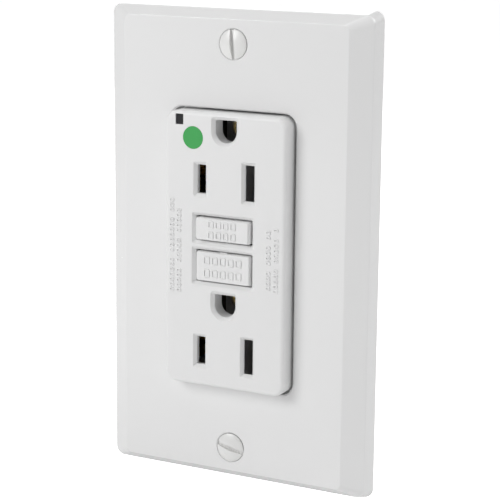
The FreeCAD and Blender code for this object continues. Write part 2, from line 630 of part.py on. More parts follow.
def rear_housing():
    """The deep rear shell, with terminal windows in its sides and wire holes in its back."""
    height = BODY_HEIGHT - 0.6
    shell = rounded_block(BODY_WIDTH, height, BODY_CORNER, (BODY_SPLIT + EPS, BODY_BACK))
    shell = fillet_where(shell, 0.8, lambda bound: bound.YMin > BODY_BACK - EPS)
    inside_back = BODY_BACK - BACK_THICKNESS
    cavity = box((-BODY_WIDTH / 2 + BODY_WALL, BODY_WIDTH / 2 - BODY_WALL), (BODY_SPLIT, inside_back),
                 (-height / 2 + BODY_WALL, height / 2 - BODY_WALL))
    shell = shell.cut(cavity)

    additions = []
    cuts = []
    for x, z in CORNERS:
        additions.append(rod(Y_AXIS, (x, BODY_SPLIT + EPS, z), 3.0, inside_back - BODY_SPLIT))
        cuts.append(rod(Y_AXIS, (x, 0, z), 1.6, 40))
        cuts.append(rod(Y_AXIS, (x, inside_back - 0.2, z), 2.7, 5))
    for side in (LEFT, RIGHT):
        for end in (LOWER, UPPER):
            centre = end * TERMINAL_Z
            cuts.append(box(sorted((side * 19, side * 23)), around(TERMINAL_Y, 5.6),
                            around(centre, 5.4)))
            for wire_z in (centre - WIRE_HOLE_OFFSET, centre + WIRE_HOLE_OFFSET):
                place = (side * WIRE_HOLE_X, 22.8, wire_z)
                additions.append(rod(Y_AXIS, place, 2.35, inside_back - 22.8 + EPS))
                cuts.append(rod(Y_AXIS, place, WIRE_HOLE_RADIUS, 10))
    shell = fuse([shell] + additions)
    return shell.cut(group(cuts)).removeSplitter()


def assembly_screws():
    """The four long screws that pull the rear housing against the face cover."""
    screws = []
    under_head = BODY_BACK - BACK_THICKNESS - 0.2
    for x, z in CORNERS:
        screws.append(pan_head_screw((x, under_head + 0.02, z), Vector(0, -1, 0), 2.5, 1.7, 1.25, 23.0))
    return group(screws)


# ---- Trip mechanism -----------------------------------------------------------------------

def contact_carrier():
    """The plastic lifter behind the contact arms, bored for the pin and its head."""
    bar_front = ARM_Y + ARM_THICKNESS / 2 + 0.95
    z_span = around(RESET_Z, 2.0)
    ridge_top = ARM_Y + ARM_THICKNESS / 2 + EPS
    pieces = [box((-11.2, 11.2), (bar_front, bar_front + 2.0), z_span),
              box((-4.9, 4.9), (bar_front, 18.9), around(RESET_Z, 4.0))]
    for side in (LEFT, RIGHT):
        width = around(side * ARM_X, ARM_HALF_WIDTH)
        pieces.append(rod(X_AXIS, (width[0], ridge_top + 1.0, RESET_Z), 1.0, width[1] - width[0]))
        pieces.append(box(sorted((side * 3.5, side * 4.9)), (18.8, 20.5), around(RESET_Z, 4.0)))
        pieces.append(box(sorted((side * 2.5, side * 4.9)), (20.0, 20.5), around(RESET_Z, 4.0)))
    carrier = fuse(pieces)
    head_reach = PIN_HEAD_FRONT - RESET_TRAVEL - CARRIER_TRAVEL - 0.1
    shaft_bore = rod(Y_AXIS, (0, 10, RESET_Z), 1.5, 20)
    head_bore = rod(Y_AXIS, (0, head_reach, RESET_Z), 2.1, 10)
    return carrier.cut(shaft_bore).cut(head_bore)


def latch_plate():
    """The sliding steel latch; its slot edge holds the pin's head, its tab hooks the plunger."""
    sheet = (MECHANISM_Y - SHEET / 2, MECHANISM_Y + SHEET / 2)
    tab_z = (6.0, 6.8)
    plate = box((-3.2, 3.2), sheet, (RESET_Z - 5.4, tab_z[1]))
    tab = box((-3.2, 3.2), (17.4, 21.8), tab_z)
    bite = 1.7
    pin_slot = box((-2.0, 2.0), (15, 25), (RESET_Z - 3.8, RESET_Z + bite))
    plunger_window = box((-2.1, 2.1), (15, 25), (3.9, tab_z[0]))
    neck_slot = box((-1.2, 1.2), (17, 20.9), (tab_z[0] - EPS, 8))
    return fuse([plate, tab]).cut(pin_slot).cut(plunger_window).cut(neck_slot)


def plunger():
    """The steel plunger, with a neck and button that hook the latch."""
    centre = (0, MECHANISM_Y)
    return fuse([rod(Z_AXIS, centre + (8.5,), 2.0, 15.5), rod(Z_AXIS, centre + (8.0,), 3.3, 0.6),
                 rod(Z_AXIS, centre + (5.7,), 0.9, 2.4), rod(Z_AXIS, centre + (4.6,), 1.8, 1.2)])


def plunger_spring():
    """The space of the coil spring between the plunger's flange and the solenoid frame."""
    return tube(Z_AXIS, (0, MECHANISM_Y, 8.65), 2.95, 2.55, 2.75)


def solenoid_bobbin():
    """The plastic spool for the trip coil."""
    start = (0, MECHANISM_Y, 12.5)
    spool = fuse([rod(Z_AXIS, start, 3.0, 13.0), rod(Z_AXIS, start, 6.0, 1.0),
                  rod(Z_AXIS, (0, MECHANISM_Y, 24.5), 6.0, 1.0)])
    return spool.cut(rod(Z_AXIS, (0, MECHANISM_Y, 10), 2.2, 20))


def solenoid_coil():
    """The copper winding on the spool."""
    return tube(Z_AXIS, (0, MECHANISM_Y, 13.55), 5.6, 3.03, 10.9)


def solenoid_frame():
    """The steel bracket that closes the coil's magnetic path."""
    half = 6.5
    depth = (13.4, BOARD_FRONT - EPS)
    lower = box((-half, half), depth, (11.5, 12.45))
    upper = box((-half, half), depth, (25.55, 26.5))
    back = box((-half, half), (depth[1] - 0.7, depth[1]), (11.5, 26.5))
    frame = fuse([lower, upper, back])
    return frame.cut(rod(Z_AXIS, (0, MECHANISM_Y, 10), 2.3, 5))


def test_spring_arm():
    """The spring leaf under the test button's stem, with a rolled root and a contact tip."""
    pivot_x, pivot_y = 6.5, 3.0
    tip_x = -5.4
    leaf = box((tip_x, pivot_x), (pivot_y - 0.2, pivot_y + 0.2), around(TEST_Z, 1.2))
    knuckle = rod(Z_AXIS, (pivot_x, pivot_y, TEST_Z - 1.2), 0.7, 2.4)
    return fuse([leaf, knuckle])


def test_post():
    """The contact post that the test arm touches, standing on the circuit board."""
    top = 6.2
    return rod(Y_AXIS, (-4.5, top, TEST_Z), 0.6, BOARD_FRONT - top)


# ---- Circuit board and its components -----------------------------------------------------

def circuit_board():
    return rounded_block(2 * BOARD_HALF_WIDTH, 2 * BOARD_HALF_HEIGHT, 1.0, (BOARD_FRONT, BOARD_BACK))


def transformer_cup():
    """The round plastic case for both ring cores, open through its middle."""
    start = (0, 15.4, TRANSFORMER_Z)
    depth = 10.4
    inner_start = (0, 16.1, TRANSFORMER_Z)
    case = rod(Y_AXIS, start, 9.2, depth)
    ring = tube(Y_AXIS, inner_start, 8.6, 3.3, depth - 0.7)
    return case.cut(ring).cut(rod(Y_AXIS, (0, 10, TRANSFORMER_Z), 2.7, 20))


def ring_core(front):
    """A ring of magnetic alloy round the two conductors."""
    return tube(Y_AXIS, (0, front, TRANSFORMER_Z), 7.2, 4.5, 3.0)


def core_windings():
    """The wire wound round each ring core, with a gap where its ends leave."""
    windings = []
    for front in (16.9, 21.9):
        sleeve = tube(Y_AXIS, (0, front - 0.5, TRANSFORMER_Z), 7.9, 3.8, 4.0)
        core_space = tube(Y_AXIS, (0, front - EPS, TRANSFORMER_Z), 7.25, 4.45, 3.0 + 2 * EPS)
        gap = box((-1.5, 1.5), (10, 30), (TRANSFORMER_Z, TRANSFORMER_Z + 12))
        windings.append(sleeve.cut(core_space).cut(gap))
    return group(windings)


def indicator_lamp():
    """A small lamp with a rounded front, at the inner end of the light pipe."""
    front = 19.8
    lamp = rod(Y_AXIS, (WINDOW_X, front, 29.4), 1.3, BOARD_FRONT - front)
    return fillet_where(lamp, 0.9, lambda bound: bound.YMax < front + EPS)


def surge_varistor():
    """The disc that absorbs voltage surges."""
    disc = rod(X_AXIS, (-11.0, 21.8, 4.0), 4.2, 3.0)
    return fillet_where(disc, 0.9, lambda bound: bound.XMax - bound.XMin < EPS)


def film_capacitor():
    block = box((6.0, 11.5), (19.0, BOARD_FRONT), (-0.5, 9.0))
    return fillet_where(block, 0.5, lambda bound: bound.YMax < 19.0 + EPS)


def control_chip():
    """The integrated circuit, with four legs along each long side."""
    body = box((4.7, 10.3), (24.7, BOARD_FRONT - 0.15), (-10.6, -6.9))
    legs = []
    for index in range(4):
        x = around(5.4 + 1.4 * index, 0.22)
        legs.append(box(x, (25.6, BOARD_FRONT), (-11.6, -5.9)))
    return fuse([body] + legs)


def thyristor():
    """The trip coil's switch, in a half-round three-legged case."""
    case = rod(Y_AXIS, (-8.4, 20.6, -8.6), 2.3, 4.2)
    case = case.cut(box((-12, -5), (20, 26), (-8.6 + 1.1, -5)))
    legs = [box(around(-8.4 + step, 0.25), (24.7, BOARD_FRONT), around(-8.9, 0.25))
            for step in (-1.27, 0, 1.27)]
    return fuse([case] + legs)


def leaded_parts(count, first, step, axis, radius, body_length, lead_length):
    """A row of round parts with a wire lead at each end bent down to the board."""
    parts = []
    for index in range(count):
        centre = Vector(*first) + Vector(*step) * index
        body = Part.makeCylinder(radius, body_length, centre - axis * (body_length / 2), axis)
        half = body_length / 2 + lead_length
        ends = [centre - axis * half, centre + axis * half]
        wires = [Part.makeCylinder(0.25, 2 * half, ends[0], axis)]
        for end in ends:
            wires.append(Part.makeSphere(0.25, end))
            wires.append(Part.makeCylinder(0.25, BOARD_FRONT - end.y, end, Y_AXIS))
        parts.append(fuse([body] + wires))
    return group(parts)


def resistors():
    return leaded_parts(3, (-2.4, 25.2, -6.5), (2.4, 0, 0), Z_AXIS, 0.85, 4.6, 0.9)


def rectifier_diodes():
    return leaded_parts(4, (0, 25.2, -0.6), (0, 0, 2.2), X_AXIS, 0.8, 3.6, 0.9)


# ---- Write every part ---------------------------------------------------------------------

def all_parts():
    """Every part by name."""
    neutral_contacts = face_contacts()
    neutral_line = line_terminal()
    parts = {
        "wall_plate": wall_plate(),
        "plate_screws": plate_screws(),
        "face_cover": face_cover(),
        "green_dot": green_dot(),
        "indicator_light_pipe": indicator_light_pipe(),
        "test_button": test_button(),
        "reset_button": reset_button(),
        "reset_pin": reset_pin(),
        "reset_spring": reset_spring(),
        "mounting_strap": mounting_strap(),
        "screw_retainers": screw_retainers(),
        "box_screws": box_screws(),
        "upper_ground_contact": ground_contact(OUTLET_CENTRES_Z[0]),
        "lower_ground_contact": ground_contact(OUTLET_CENTRES_Z[1]),
        "ground_clamp": ground_clamp(),
        "ground_screw": ground_screw(),
        "neutral_face_contacts": neutral_contacts,
        "hot_face_contacts": mirrored_x(neutral_contacts),
        "neutral_line_terminal": neutral_line,
        "hot_line_terminal": mirrored_x(neutral_line),
        "line_conductors": line_conductors(),
        "hot_contact_arm": contact_arm(LEFT),
        "neutral_contact_arm": contact_arm(RIGHT),
        "middle_housing": middle_housing(),
        "rear_housing": rear_housing(),
        "assembly_screws": assembly_screws(),
        "contact_carrier": contact_carrier(),
        "latch_plate": latch_plate(),
        "solenoid_plunger": plunger(),
        "plunger_spring": plunger_spring(),
        "solenoid_bobbin": solenoid_bobbin(),
        "solenoid_coil": solenoid_coil(),
        "solenoid_frame": solenoid_frame(),
        "test_spring_arm": test_spring_arm(),
        "test_post": test_post(),
        "circuit_board": circuit_board(),
        "transformer_cup": transformer_cup(),
        "ground_fault_core": ring_core(16.9),
        "neutral_fault_core": ring_core(21.9),
        "core_windings": core_windings(),
        "indicator_lamp": indicator_lamp(),
        "surge_varistor": surge_varistor(),
        "film_capacitor": film_capacitor(),
        "control_chip": control_chip(),
        "thyristor": thyristor(),
        "resistors": resistors(),
        "rectifier_diodes": rectifier_diodes(),
    }
    for side, pole in ((LEFT, "hot"), (RIGHT, "neutral")):
        for end, circuit in ((LOWER, "line"), (UPPER, "load")):
            parts[f"{circuit}_{pole}_screw"] = terminal_screw(side, end)
            parts[f"{circuit}_{pole}_clamp"] = wire_clamp(side, end)
    return parts


os.makedirs("parts", exist_ok=True)
for part_name, part_shape in all_parts().items():
    part_shape.exportStep(f"parts/{part_name}.step")
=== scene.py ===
import math

import bmesh
import bpy
from mathutils import Matrix, Vector


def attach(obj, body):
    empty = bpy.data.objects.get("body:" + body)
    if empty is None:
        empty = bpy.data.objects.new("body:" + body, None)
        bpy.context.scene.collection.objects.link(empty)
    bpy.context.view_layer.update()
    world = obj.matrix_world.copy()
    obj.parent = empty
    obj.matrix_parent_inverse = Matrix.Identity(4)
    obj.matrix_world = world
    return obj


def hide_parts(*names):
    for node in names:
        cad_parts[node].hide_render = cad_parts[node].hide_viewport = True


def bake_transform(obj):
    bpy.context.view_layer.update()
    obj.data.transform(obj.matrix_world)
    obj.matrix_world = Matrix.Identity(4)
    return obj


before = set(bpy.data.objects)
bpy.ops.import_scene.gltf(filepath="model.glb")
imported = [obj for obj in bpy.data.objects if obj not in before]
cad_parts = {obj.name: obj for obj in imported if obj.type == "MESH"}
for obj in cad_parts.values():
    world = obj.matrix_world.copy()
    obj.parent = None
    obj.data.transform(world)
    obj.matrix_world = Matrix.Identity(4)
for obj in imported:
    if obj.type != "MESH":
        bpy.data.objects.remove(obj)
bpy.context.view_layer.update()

# Lengths below are in millimetres; every mesh is scaled to metres when it is finished.
MM = 0.001
X_AXIS, Y_AXIS, Z_AXIS = Vector((1, 0, 0)), Vector((0, 1, 0)), Vector((0, 0, 1))
LEFT, RIGHT = -1, 1
LOWER, UPPER = -1, 1

# ---- Driving dimensions, the same as in the CAD model ----------------------------------------

PLATE_WIDTH, PLATE_HEIGHT = 69.85, 114.3
PLATE_FRONT, PLATE_RIM, PLATE_RIM_INSET = -6.4, -3.4, 0.85
PLATE_FLAT_INSET_SIDE, PLATE_FLAT_INSET_END = 5.7, 3.0
PLATE_SKIN = 2.2
PLATE_SCREW_Z = 48.42
OPENING_WIDTH, OPENING_HEIGHT, OPENING_CORNER = 32.7, 66.5, 3.0

FACE_FRONT = -10.2
FACE_WIDTH, FACE_HEIGHT, FACE_CORNER, FACE_EDGE = 31.7, 65.5, 2.7, 0.95
FACE_THICKNESS, FACE_WALL = 2.0, 1.5
SHOULDER_FRONT = 1.2
BODY_WIDTH, BODY_HEIGHT, BODY_CORNER, BODY_WALL = 43.0, 68.6, 2.5, 1.6
BODY_SPLIT, BODY_BACK, BACK_THICKNESS = 8.0, 30.0, 2.0

OUTLET_CENTRES_Z = (17.0, -24.3)
BLADE_X, BLADE_LEAD_IN = 6.35, 0.75
HOT_SLOT, NEUTRAL_SLOT = (2.2, 6.8), (2.3, 8.4)
HOT_THROAT, NEUTRAL_THROAT = 1.7, 1.0
GROUND_ABOVE_BLADES = 11.6
GROUND_HALF_WIDTH, GROUND_TOP, GROUND_LEAD_IN = 2.75, 2.6, 0.8
GROUND_COLLAR_WALL, GROUND_COLLAR_BACK = 1.0, -6.05

BUTTON_X, TEST_Z, RESET_Z = -0.35, 5.4, -3.6
TEST_POCKET, RESET_POCKET, POCKET_LEAD_IN = (14.9, 6.0), (15.0, 7.7), 0.75
TEST_TOP, TEST_BASE, TEST_PROUD = (13.6, 5.0), (14.3, 5.3), 0.5
RESET_TOP, RESET_BASE, RESET_PROUD = (13.85, 6.8), (14.35, 7.05), 0.05
RESET_TRAVEL = 1.8

WINDOW_X, WINDOW_Z, WINDOW = -12.0, 30.8, (1.9, 2.35)
DOT_X, DOT_Z, DOT_RADIUS = -8.35, 26.7, 2.65

STRAP_THICKNESS = 1.3
BOX_SCREW_Z = 83.34 / 2
SMALL_SCREW_RADIUS = 3.505 / 2
BOX_SCREW_NECK_RADIUS = 1.4
NECK_HALF_WIDTH = 10.0
TERMINAL_Z, TERMINAL_Y, TERMINAL_SCREW_RADIUS = 18.5, 16.0, 2.08
TERMINAL_PLATE_OUTER = 18.0
CORNERS = [(x, z) for x in (-17.0, 17.0) for z in (-29.8, 29.8)]
MECHANISM_Y, TRANSFORMER_Z = 19.4, -22.0
RING_CORE_FRONTS, RING_CORE_DEPTH, RING_CORE_INNER, RING_CORE_OUTER = (16.9, 21.9), 3.0, 4.5, 7.2
FLOOR_FRONT = 9.4
GROUND_TAB_X = 13.0
GROUND_SCREW_Y, GROUND_SCREW_Z = 5.6, -40.75

CORNER_STEPS = 9
ROUND_STEPS = 64

# The stage: the floor's place below the plate, its glow to the camera and the light it throws.
FLOOR_BELOW = 0.5
FLOOR_GLOW, FLOOR_BOUNCE = 0.88, 0.15


# ---- Mesh tools ------------------------------------------------------------------------------

def rounded_loop(width, height, radius, y, centre=(0.0, 0.0)):
    """Points round a rectangle with round corners, at depth y."""
    points = []
    for index, (sx, sz) in enumerate(((1, 1), (-1, 1), (-1, -1), (1, -1))):
        corner_x = centre[0] + sx * (width / 2 - radius)
        corner_z = centre[1] + sz * (height / 2 - radius)
        for step in range(CORNER_STEPS + 1):
            angle = (index + step / CORNER_STEPS) * math.pi / 2
            points.append((corner_x + radius * math.cos(angle), y, corner_z + radius * math.sin(angle)))
    return points


def softened(levels, steps=5):
    """Levels with their corners rounded; the last number of each level is how far its rounding reaches."""
    result = [levels[0][:-1]]
    for before, here, after in zip(levels, levels[1:], levels[2:]):
        reach = here[-1]
        middle = Vector(here[:-1])
        if reach == 0:
            result.append(tuple(middle))
            continue
        ends = []
        for other in (before, after):
            span = Vector(other[:-1]) - middle
            ends.append(middle + span * min(0.48, reach / max(span.length, 1e-6)))
        for step in range(steps + 1):
            t = step / steps
            result.append(tuple(ends[0] * (1 - t) ** 2 + middle * 2 * t * (1 - t) + ends[1] * t ** 2))
    result.append(levels[-1][:-1])
    return result


def lofted(loops, ring=False):
    """A closed solid through loops of equal length, with flat ends or closed like a ring."""
    solid = bmesh.new()
    rows = [[solid.verts.new(point) for point in loop] for loop in loops]
    pairs = list(zip(rows, rows[1:])) + ([(rows[-1], rows[0])] if ring else [])
    for first, second in pairs:
        for index in range(len(first)):
            following = (index + 1) % len(first)
            solid.faces.new((first[index], first[following], second[following], second[index]))
    if not ring:
        solid.faces.new(rows[0])
        solid.faces.new(rows[-1])
    bmesh.ops.recalc_face_normals(solid, faces=solid.faces)
    return solid


def rounded_solid(levels, centre=(0.0, 0.0), steps=5):
    """A solid through (width, height, corner radius, y, rounding) levels."""
    return lofted([rounded_loop(w, h, r, y, centre) for w, h, r, y in softened(levels, steps)])


def mouth_profile(lead_in, depth, throat=None):
    """(growth, depth) levels of a bevelled mouth; behind a short throat it may open out again."""
    levels = [(lead_in + 0.5, -0.5, 0), (lead_in + 0.09, -0.09, 0), (lead_in + 0.02, 0.0, 0.05),
              (0.0, lead_in, 0.06)]
    if throat is None:
        levels.append((0.0, depth, 0))
    else:
        levels += [(0.0, throat, 0), (1.0, throat + 0.15, 0), (1.0, depth, 0)]
    return softened(levels, 3)


def block(x, y, z, edge=0.2):
    """A block between (low, high) values along each axis, with softened edges."""
    low, high = Vector((x[0], y[0], z[0])), Vector((x[1], y[1], z[1]))
    solid = bmesh.new()
    bmesh.ops.create_cube(solid, size=1.0)
    for vert in solid.verts:
        vert.co = Vector([(low[i] + high[i]) / 2 + vert.co[i] * (high[i] - low[i]) for i in range(3)])
    if edge > 0:
        bmesh.ops.bevel(solid, geom=list(solid.edges), offset=edge, segments=3, profile=0.5,
                        affect="EDGES")
    return solid


def turned(profile, steps=ROUND_STEPS):
    """A solid of revolution about Z from (radius, height) points."""
    loops = []
    for radius, height in profile:
        loops.append([(radius * math.cos(2 * math.pi * k / steps),
                       radius * math.sin(2 * math.pi * k / steps), height) for k in range(steps)])
    return lofted(loops)


def swept(path, radius, sides=8):
    """A round wire along a list of points."""
    points = [Vector(point) for point in path]
    last = len(points) - 1
    loops = []
    normal = None
    for index, point in enumerate(points):
        along = (points[min(index + 1, last)] - points[max(index - 1, 0)]).normalized()
        if normal is None:
            normal = along.orthogonal().normalized()
        normal = (normal - along * normal.dot(along)).normalized()
        across = along.cross(normal)
        loops.append([point + (normal * math.cos(2 * math.pi * k / sides)
                               + across * math.sin(2 * math.pi * k / sides)) * radius
                      for k in range(sides)])
    return lofted(loops)


def aimed(solid, start, axis):
    """The solid turned so that its Z points along axis, and moved to start."""
    turn = Z_AXIS.rotation_difference(Vector(axis)).to_matrix().to_4x4()
    bmesh.ops.transform(solid, matrix=Matrix.Translation(Vector(start)) @ turn, verts=solid.verts)
    return solid


def together(solids):
    """Several closed solids in one mesh."""
    mesh = bpy.data.meshes.new("joined")
    joined = bmesh.new()
    for solid in solids:
        solid.to_mesh(mesh)
        joined.from_mesh(mesh)
        solid.free()
    bpy.data.meshes.remove(mesh)
    return joined


def as_object(solid, name):
    """The solid as an object in the scene, so that modifiers can work on it."""
    mesh = bpy.data.meshes.new(name)
    solid.to_mesh(mesh)
    solid.free()
    thing = bpy.data.objects.new(name, mesh)
    bpy.context.scene.collection.objects.link(thing)
    return thing


def combined(base, others, operation):
    """One solid with the others cut from it (DIFFERENCE) or joined to it (UNION)."""
    body = as_object(base, "body")
    tools = bpy.data.collections.new("tools")
    bpy.context.scene.collection.children.link(tools)
    made = []
    for other in others:
        tool = as_object(other, "tool")
        bpy.context.scene.collection.objects.unlink(tool)
        tools.objects.link(tool)
        made.append(tool)
    modifier = body.modifiers.new("combine", "BOOLEAN")
    modifier.operation = operation
    modifier.solver = "EXACT"
    modifier.operand_type = "COLLECTION"
    modifier.collection = tools
    bpy.context.view_layer.update()
    evaluated = body.evaluated_get(bpy.context.evaluated_depsgraph_get())
    result = bmesh.new()
    result.from_mesh(evaluated.to_mesh())
    evaluated.to_mesh_clear()
    for thing in made + [body]:
        mesh = thing.data
        bpy.data.objects.remove(thing)
        bpy.data.meshes.remove(mesh)
    bpy.data.collections.remove(tools)
    bmesh.ops.remove_doubles(result, verts=result.verts, dist=0.0005)
    bmesh.ops.dissolve_degenerate(result, edges=result.edges, dist=0.0005)
    return result


def piece(name, solid, material, body, replaced=()):
    """A finished piece of the object, in metres, riding on a CAD body."""
    mesh = bpy.data.meshes.new(name)
    bmesh.ops.scale(solid, vec=(MM, MM, MM), verts=solid.verts)
    solid.to_mesh(mesh)
    solid.free()
    mesh.materials.append(material)
    mesh.shade_smooth()
    mesh.set_sharp_from_angle(angle=math.radians(32))
    thing = bpy.data.objects.new(name, mesh)
    bpy.context.scene.collection.objects.link(thing)
    weighted = thing.modifiers.new("face weighted normals", "WEIGHTED_NORMAL")
    weighted.keep_sharp = True
    weighted.weight = 60
    if replaced:
        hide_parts(*replaced)
    if body:
        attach(thing, body)
    return thing


# ---- Materials -------------------------------------------------------------------------------

def finish(name, colour, rough, metallic=0.0, grain=900.0, tint=0.03, relief=0.02, coat=0.0,
           stretch=(1, 1, 1), rough_spread=0.08, clear=0.0, ior=1.5):
    """A surface whose colour, roughness and fine relief vary with noise."""
    material = bpy.data.materials.new(name)
    material.use_nodes = True
    nodes, links = material.node_tree.nodes, material.node_tree.links
    shader = nodes["Principled BSDF"]
    place = nodes.new("ShaderNodeTexCoord")
    mapping = nodes.new("ShaderNodeMapping")
    mapping.inputs["Scale"].default_value = stretch
    links.new(place.outputs["Object"], mapping.inputs["Vector"])
    fine = nodes.new("ShaderNodeTexNoise")
    fine.inputs["Scale"].default_value = grain
    fine.inputs["Detail"].default_value = 3
    broad = nodes.new("ShaderNodeTexNoise")
    broad.inputs["Scale"].default_value = grain / 14
    broad.inputs["Detail"].default_value = 2
    for noise in (fine, broad):
        links.new(mapping.outputs["Vector"], noise.inputs["Vector"])
    mix = nodes.new("ShaderNodeMix")
    mix.data_type = "RGBA"
    mix.inputs["A"].default_value = [max(0, c * (1 - tint)) for c in colour] + [1]
    mix.inputs["B"].default_value = [min(1, c * (1 + tint)) for c in colour] + [1]
    links.new(broad.outputs["Fac"], mix.inputs["Factor"])
    links.new(mix.outputs["Result"], shader.inputs["Base Color"])
    spread = nodes.new("ShaderNodeMapRange")
    spread.inputs["To Min"].default_value = max(0.02, rough - rough_spread / 2)
    spread.inputs["To Max"].default_value = min(1.0, rough + rough_spread / 2)
    links.new(fine.outputs["Fac"], spread.inputs["Value"])
    links.new(spread.outputs["Result"], shader.inputs["Roughness"])
    bump = nodes.new("ShaderNodeBump")
    bump.inputs["Strength"].default_value = relief
    bump.inputs["Distance"].default_value = 0.0002
    links.new(fine.outputs["Fac"], bump.inputs["Height"])
    links.new(bump.outputs["Normal"], shader.inputs["Normal"])
    shader.inputs["Metallic"].default_value = metallic
    shader.inputs["Coat Weight"].default_value = coat
    shader.inputs["Coat Roughness"].default_value = 0.12
    shader.inputs["Transmission Weight"].default_value = clear
    shader.inputs["IOR"].default_value = ior
    return material


def striped(material, scale, axis, dark, amount=0.5):
    """Adds fine parallel bands to a finish, such as wound wire or moulded ribs."""
    nodes, links = material.node_tree.nodes, material.node_tree.links
    shader = nodes["Principled BSDF"]
    place = nodes.new("ShaderNodeTexCoord")
    wave = nodes.new("ShaderNodeTexWave")
    wave.bands_direction = axis
    wave.inputs["Scale"].default_value = scale
    wave.inputs["Distortion"].default_value = 0.0
    links.new(place.outputs["Object"], wave.inputs["Vector"])
    mix = nodes.new("ShaderNodeMix")
    mix.data_type = "RGBA"
    source = shader.inputs["Base Color"].links[0].from_socket
    links.new(source, mix.inputs["A"])
    mix.inputs["B"].default_value = list(dark) + [1]
    strength = nodes.new("ShaderNodeMath")
    strength.operation = "MULTIPLY"
    strength.inputs[1].default_value = amount
    links.new(wave.outputs["Fac"], strength.inputs[0])
    links.new(strength.outputs["Value"], mix.inputs["Factor"])
    links.new(mix.outputs["Result"], shader.inputs["Base Color"])
    return material


def circuit_green():
    """Solder mask with paler tracks under it."""
    material = finish("circuit_green", (0.03, 0.2, 0.08), 0.3, tint=0.2, relief=0.05, coat=0.4)
    nodes, links = material.node_tree.nodes, material.node_tree.links
    shader = nodes["Principled BSDF"]
    place = nodes.new("ShaderNodeTexCoord")
    tracks = nodes.new("ShaderNodeTexBrick")
    tracks.inputs["Scale"].default_value = 260
    tracks.inputs["Mortar Size"].default_value = 0.035
    tracks.inputs["Color1"].default_value = (0.03, 0.2, 0.08, 1)
    tracks.inputs["Color2"].default_value = (0.025, 0.17, 0.07, 1)
    tracks.inputs["Mortar"].default_value = (0.1, 0.36, 0.16, 1)
    turn = nodes.new("ShaderNodeMapping")
    turn.inputs["Rotation"].default_value = (math.pi / 2, 0, 0)
    links.new(place.outputs["Object"], turn.inputs["Vector"])
    links.new(turn.outputs["Vector"], tracks.inputs["Vector"])
    links.new(tracks.outputs["Color"], shader.inputs["Base Color"])
    return material


WHITE = (0.80, 0.80, 0.80)
MATERIAL = {
    "white_plastic": finish("plate_white", WHITE, 0.26, tint=0.006, grain=500, relief=0.012,
                            coat=0.35, rough_spread=0.05),
    "face_plastic": finish("face_white", (0.79, 0.79, 0.79), 0.46, tint=0.01, grain=2600, relief=0.10,
                           rough_spread=0.10),
    "button_plastic": finish("button_white", (0.80, 0.80, 0.80), 0.42, tint=0.01, grain=2600,
                             relief=0.08, rough_spread=0.10),
    "painted_screw": finish("screw_enamel", (0.78, 0.78, 0.77), 0.32, tint=0.02, grain=1500,
                            relief=0.06, coat=0.3),
    "green_mark": finish("dot_green", (0.045, 0.37, 0.085), 0.42, tint=0.05, grain=2400, relief=0.06),
    # Painted shade: the clear window is coloured near-black for the dark inside seen through it, with paler
    # vertical bands across it.
    "clear_plastic": striped(finish("window_clear_painted_shade", (0.016, 0.016, 0.017), 0.5, tint=0.2,
                                    ior=1.2), 1100, "X", (0.07, 0.07, 0.074), 0.6),
    "galvanized_steel": finish("galvanized_steel", (0.62, 0.63, 0.64), 0.38, metallic=1.0, grain=420,
                               tint=0.12, relief=0.06, rough_spread=0.2),
    "zinc_steel": finish("zinc_steel", (0.7, 0.71, 0.72), 0.3, metallic=1.0, grain=900, tint=0.08,
                         relief=0.05, rough_spread=0.15),
    "bare_steel": finish("bare_steel", (0.58, 0.58, 0.59), 0.28, metallic=1.0, grain=700, tint=0.08,
                         relief=0.05, stretch=(1, 0.2, 1), rough_spread=0.15),
    "green_screw": finish("green_screw_plating", (0.04, 0.30, 0.10), 0.3, metallic=0.8, grain=900,
                          tint=0.12, relief=0.05, coat=0.2),
    "brass": finish("brass", (0.80, 0.60, 0.26), 0.28, metallic=1.0, grain=600, tint=0.08,
                    relief=0.05, stretch=(1, 0.25, 1), rough_spread=0.15),
    "copper": finish("copper", (0.72, 0.36, 0.18), 0.3, metallic=1.0, grain=700, tint=0.1,
                     relief=0.05, coat=0.3),
    "nylon": finish("nylon", (0.80, 0.78, 0.70), 0.5, tint=0.03, grain=700, relief=0.05),
    "grey_plastic": finish("grey_plastic", (0.10, 0.10, 0.105), 0.5, tint=0.1, grain=1500,
                           relief=0.12),
    "black_plastic": finish("black_plastic", (0.025, 0.025, 0.027), 0.42, tint=0.2, grain=1500,
                            relief=0.12),
    "housing_plastic": finish("housing_plastic", (0.76, 0.76, 0.74), 0.5, tint=0.015, grain=1800,
                              relief=0.14),
    "board_green": circuit_green(),
    "core_alloy": finish("ring_core_alloy", (0.16, 0.16, 0.17), 0.5, metallic=0.4, grain=900,
                         tint=0.15, relief=0.12),
    "blue_coating": finish("varistor_coating", (0.05, 0.14, 0.42), 0.34, tint=0.08, grain=700,
                           relief=0.08, coat=0.4),
    "yellow_coating": finish("capacitor_case", (0.72, 0.52, 0.08), 0.38, tint=0.05, grain=900,
                             relief=0.06),
    "tan_coating": finish("resistor_coating", (0.66, 0.52, 0.32), 0.38, tint=0.06, grain=900,
                          relief=0.08, coat=0.3),
}

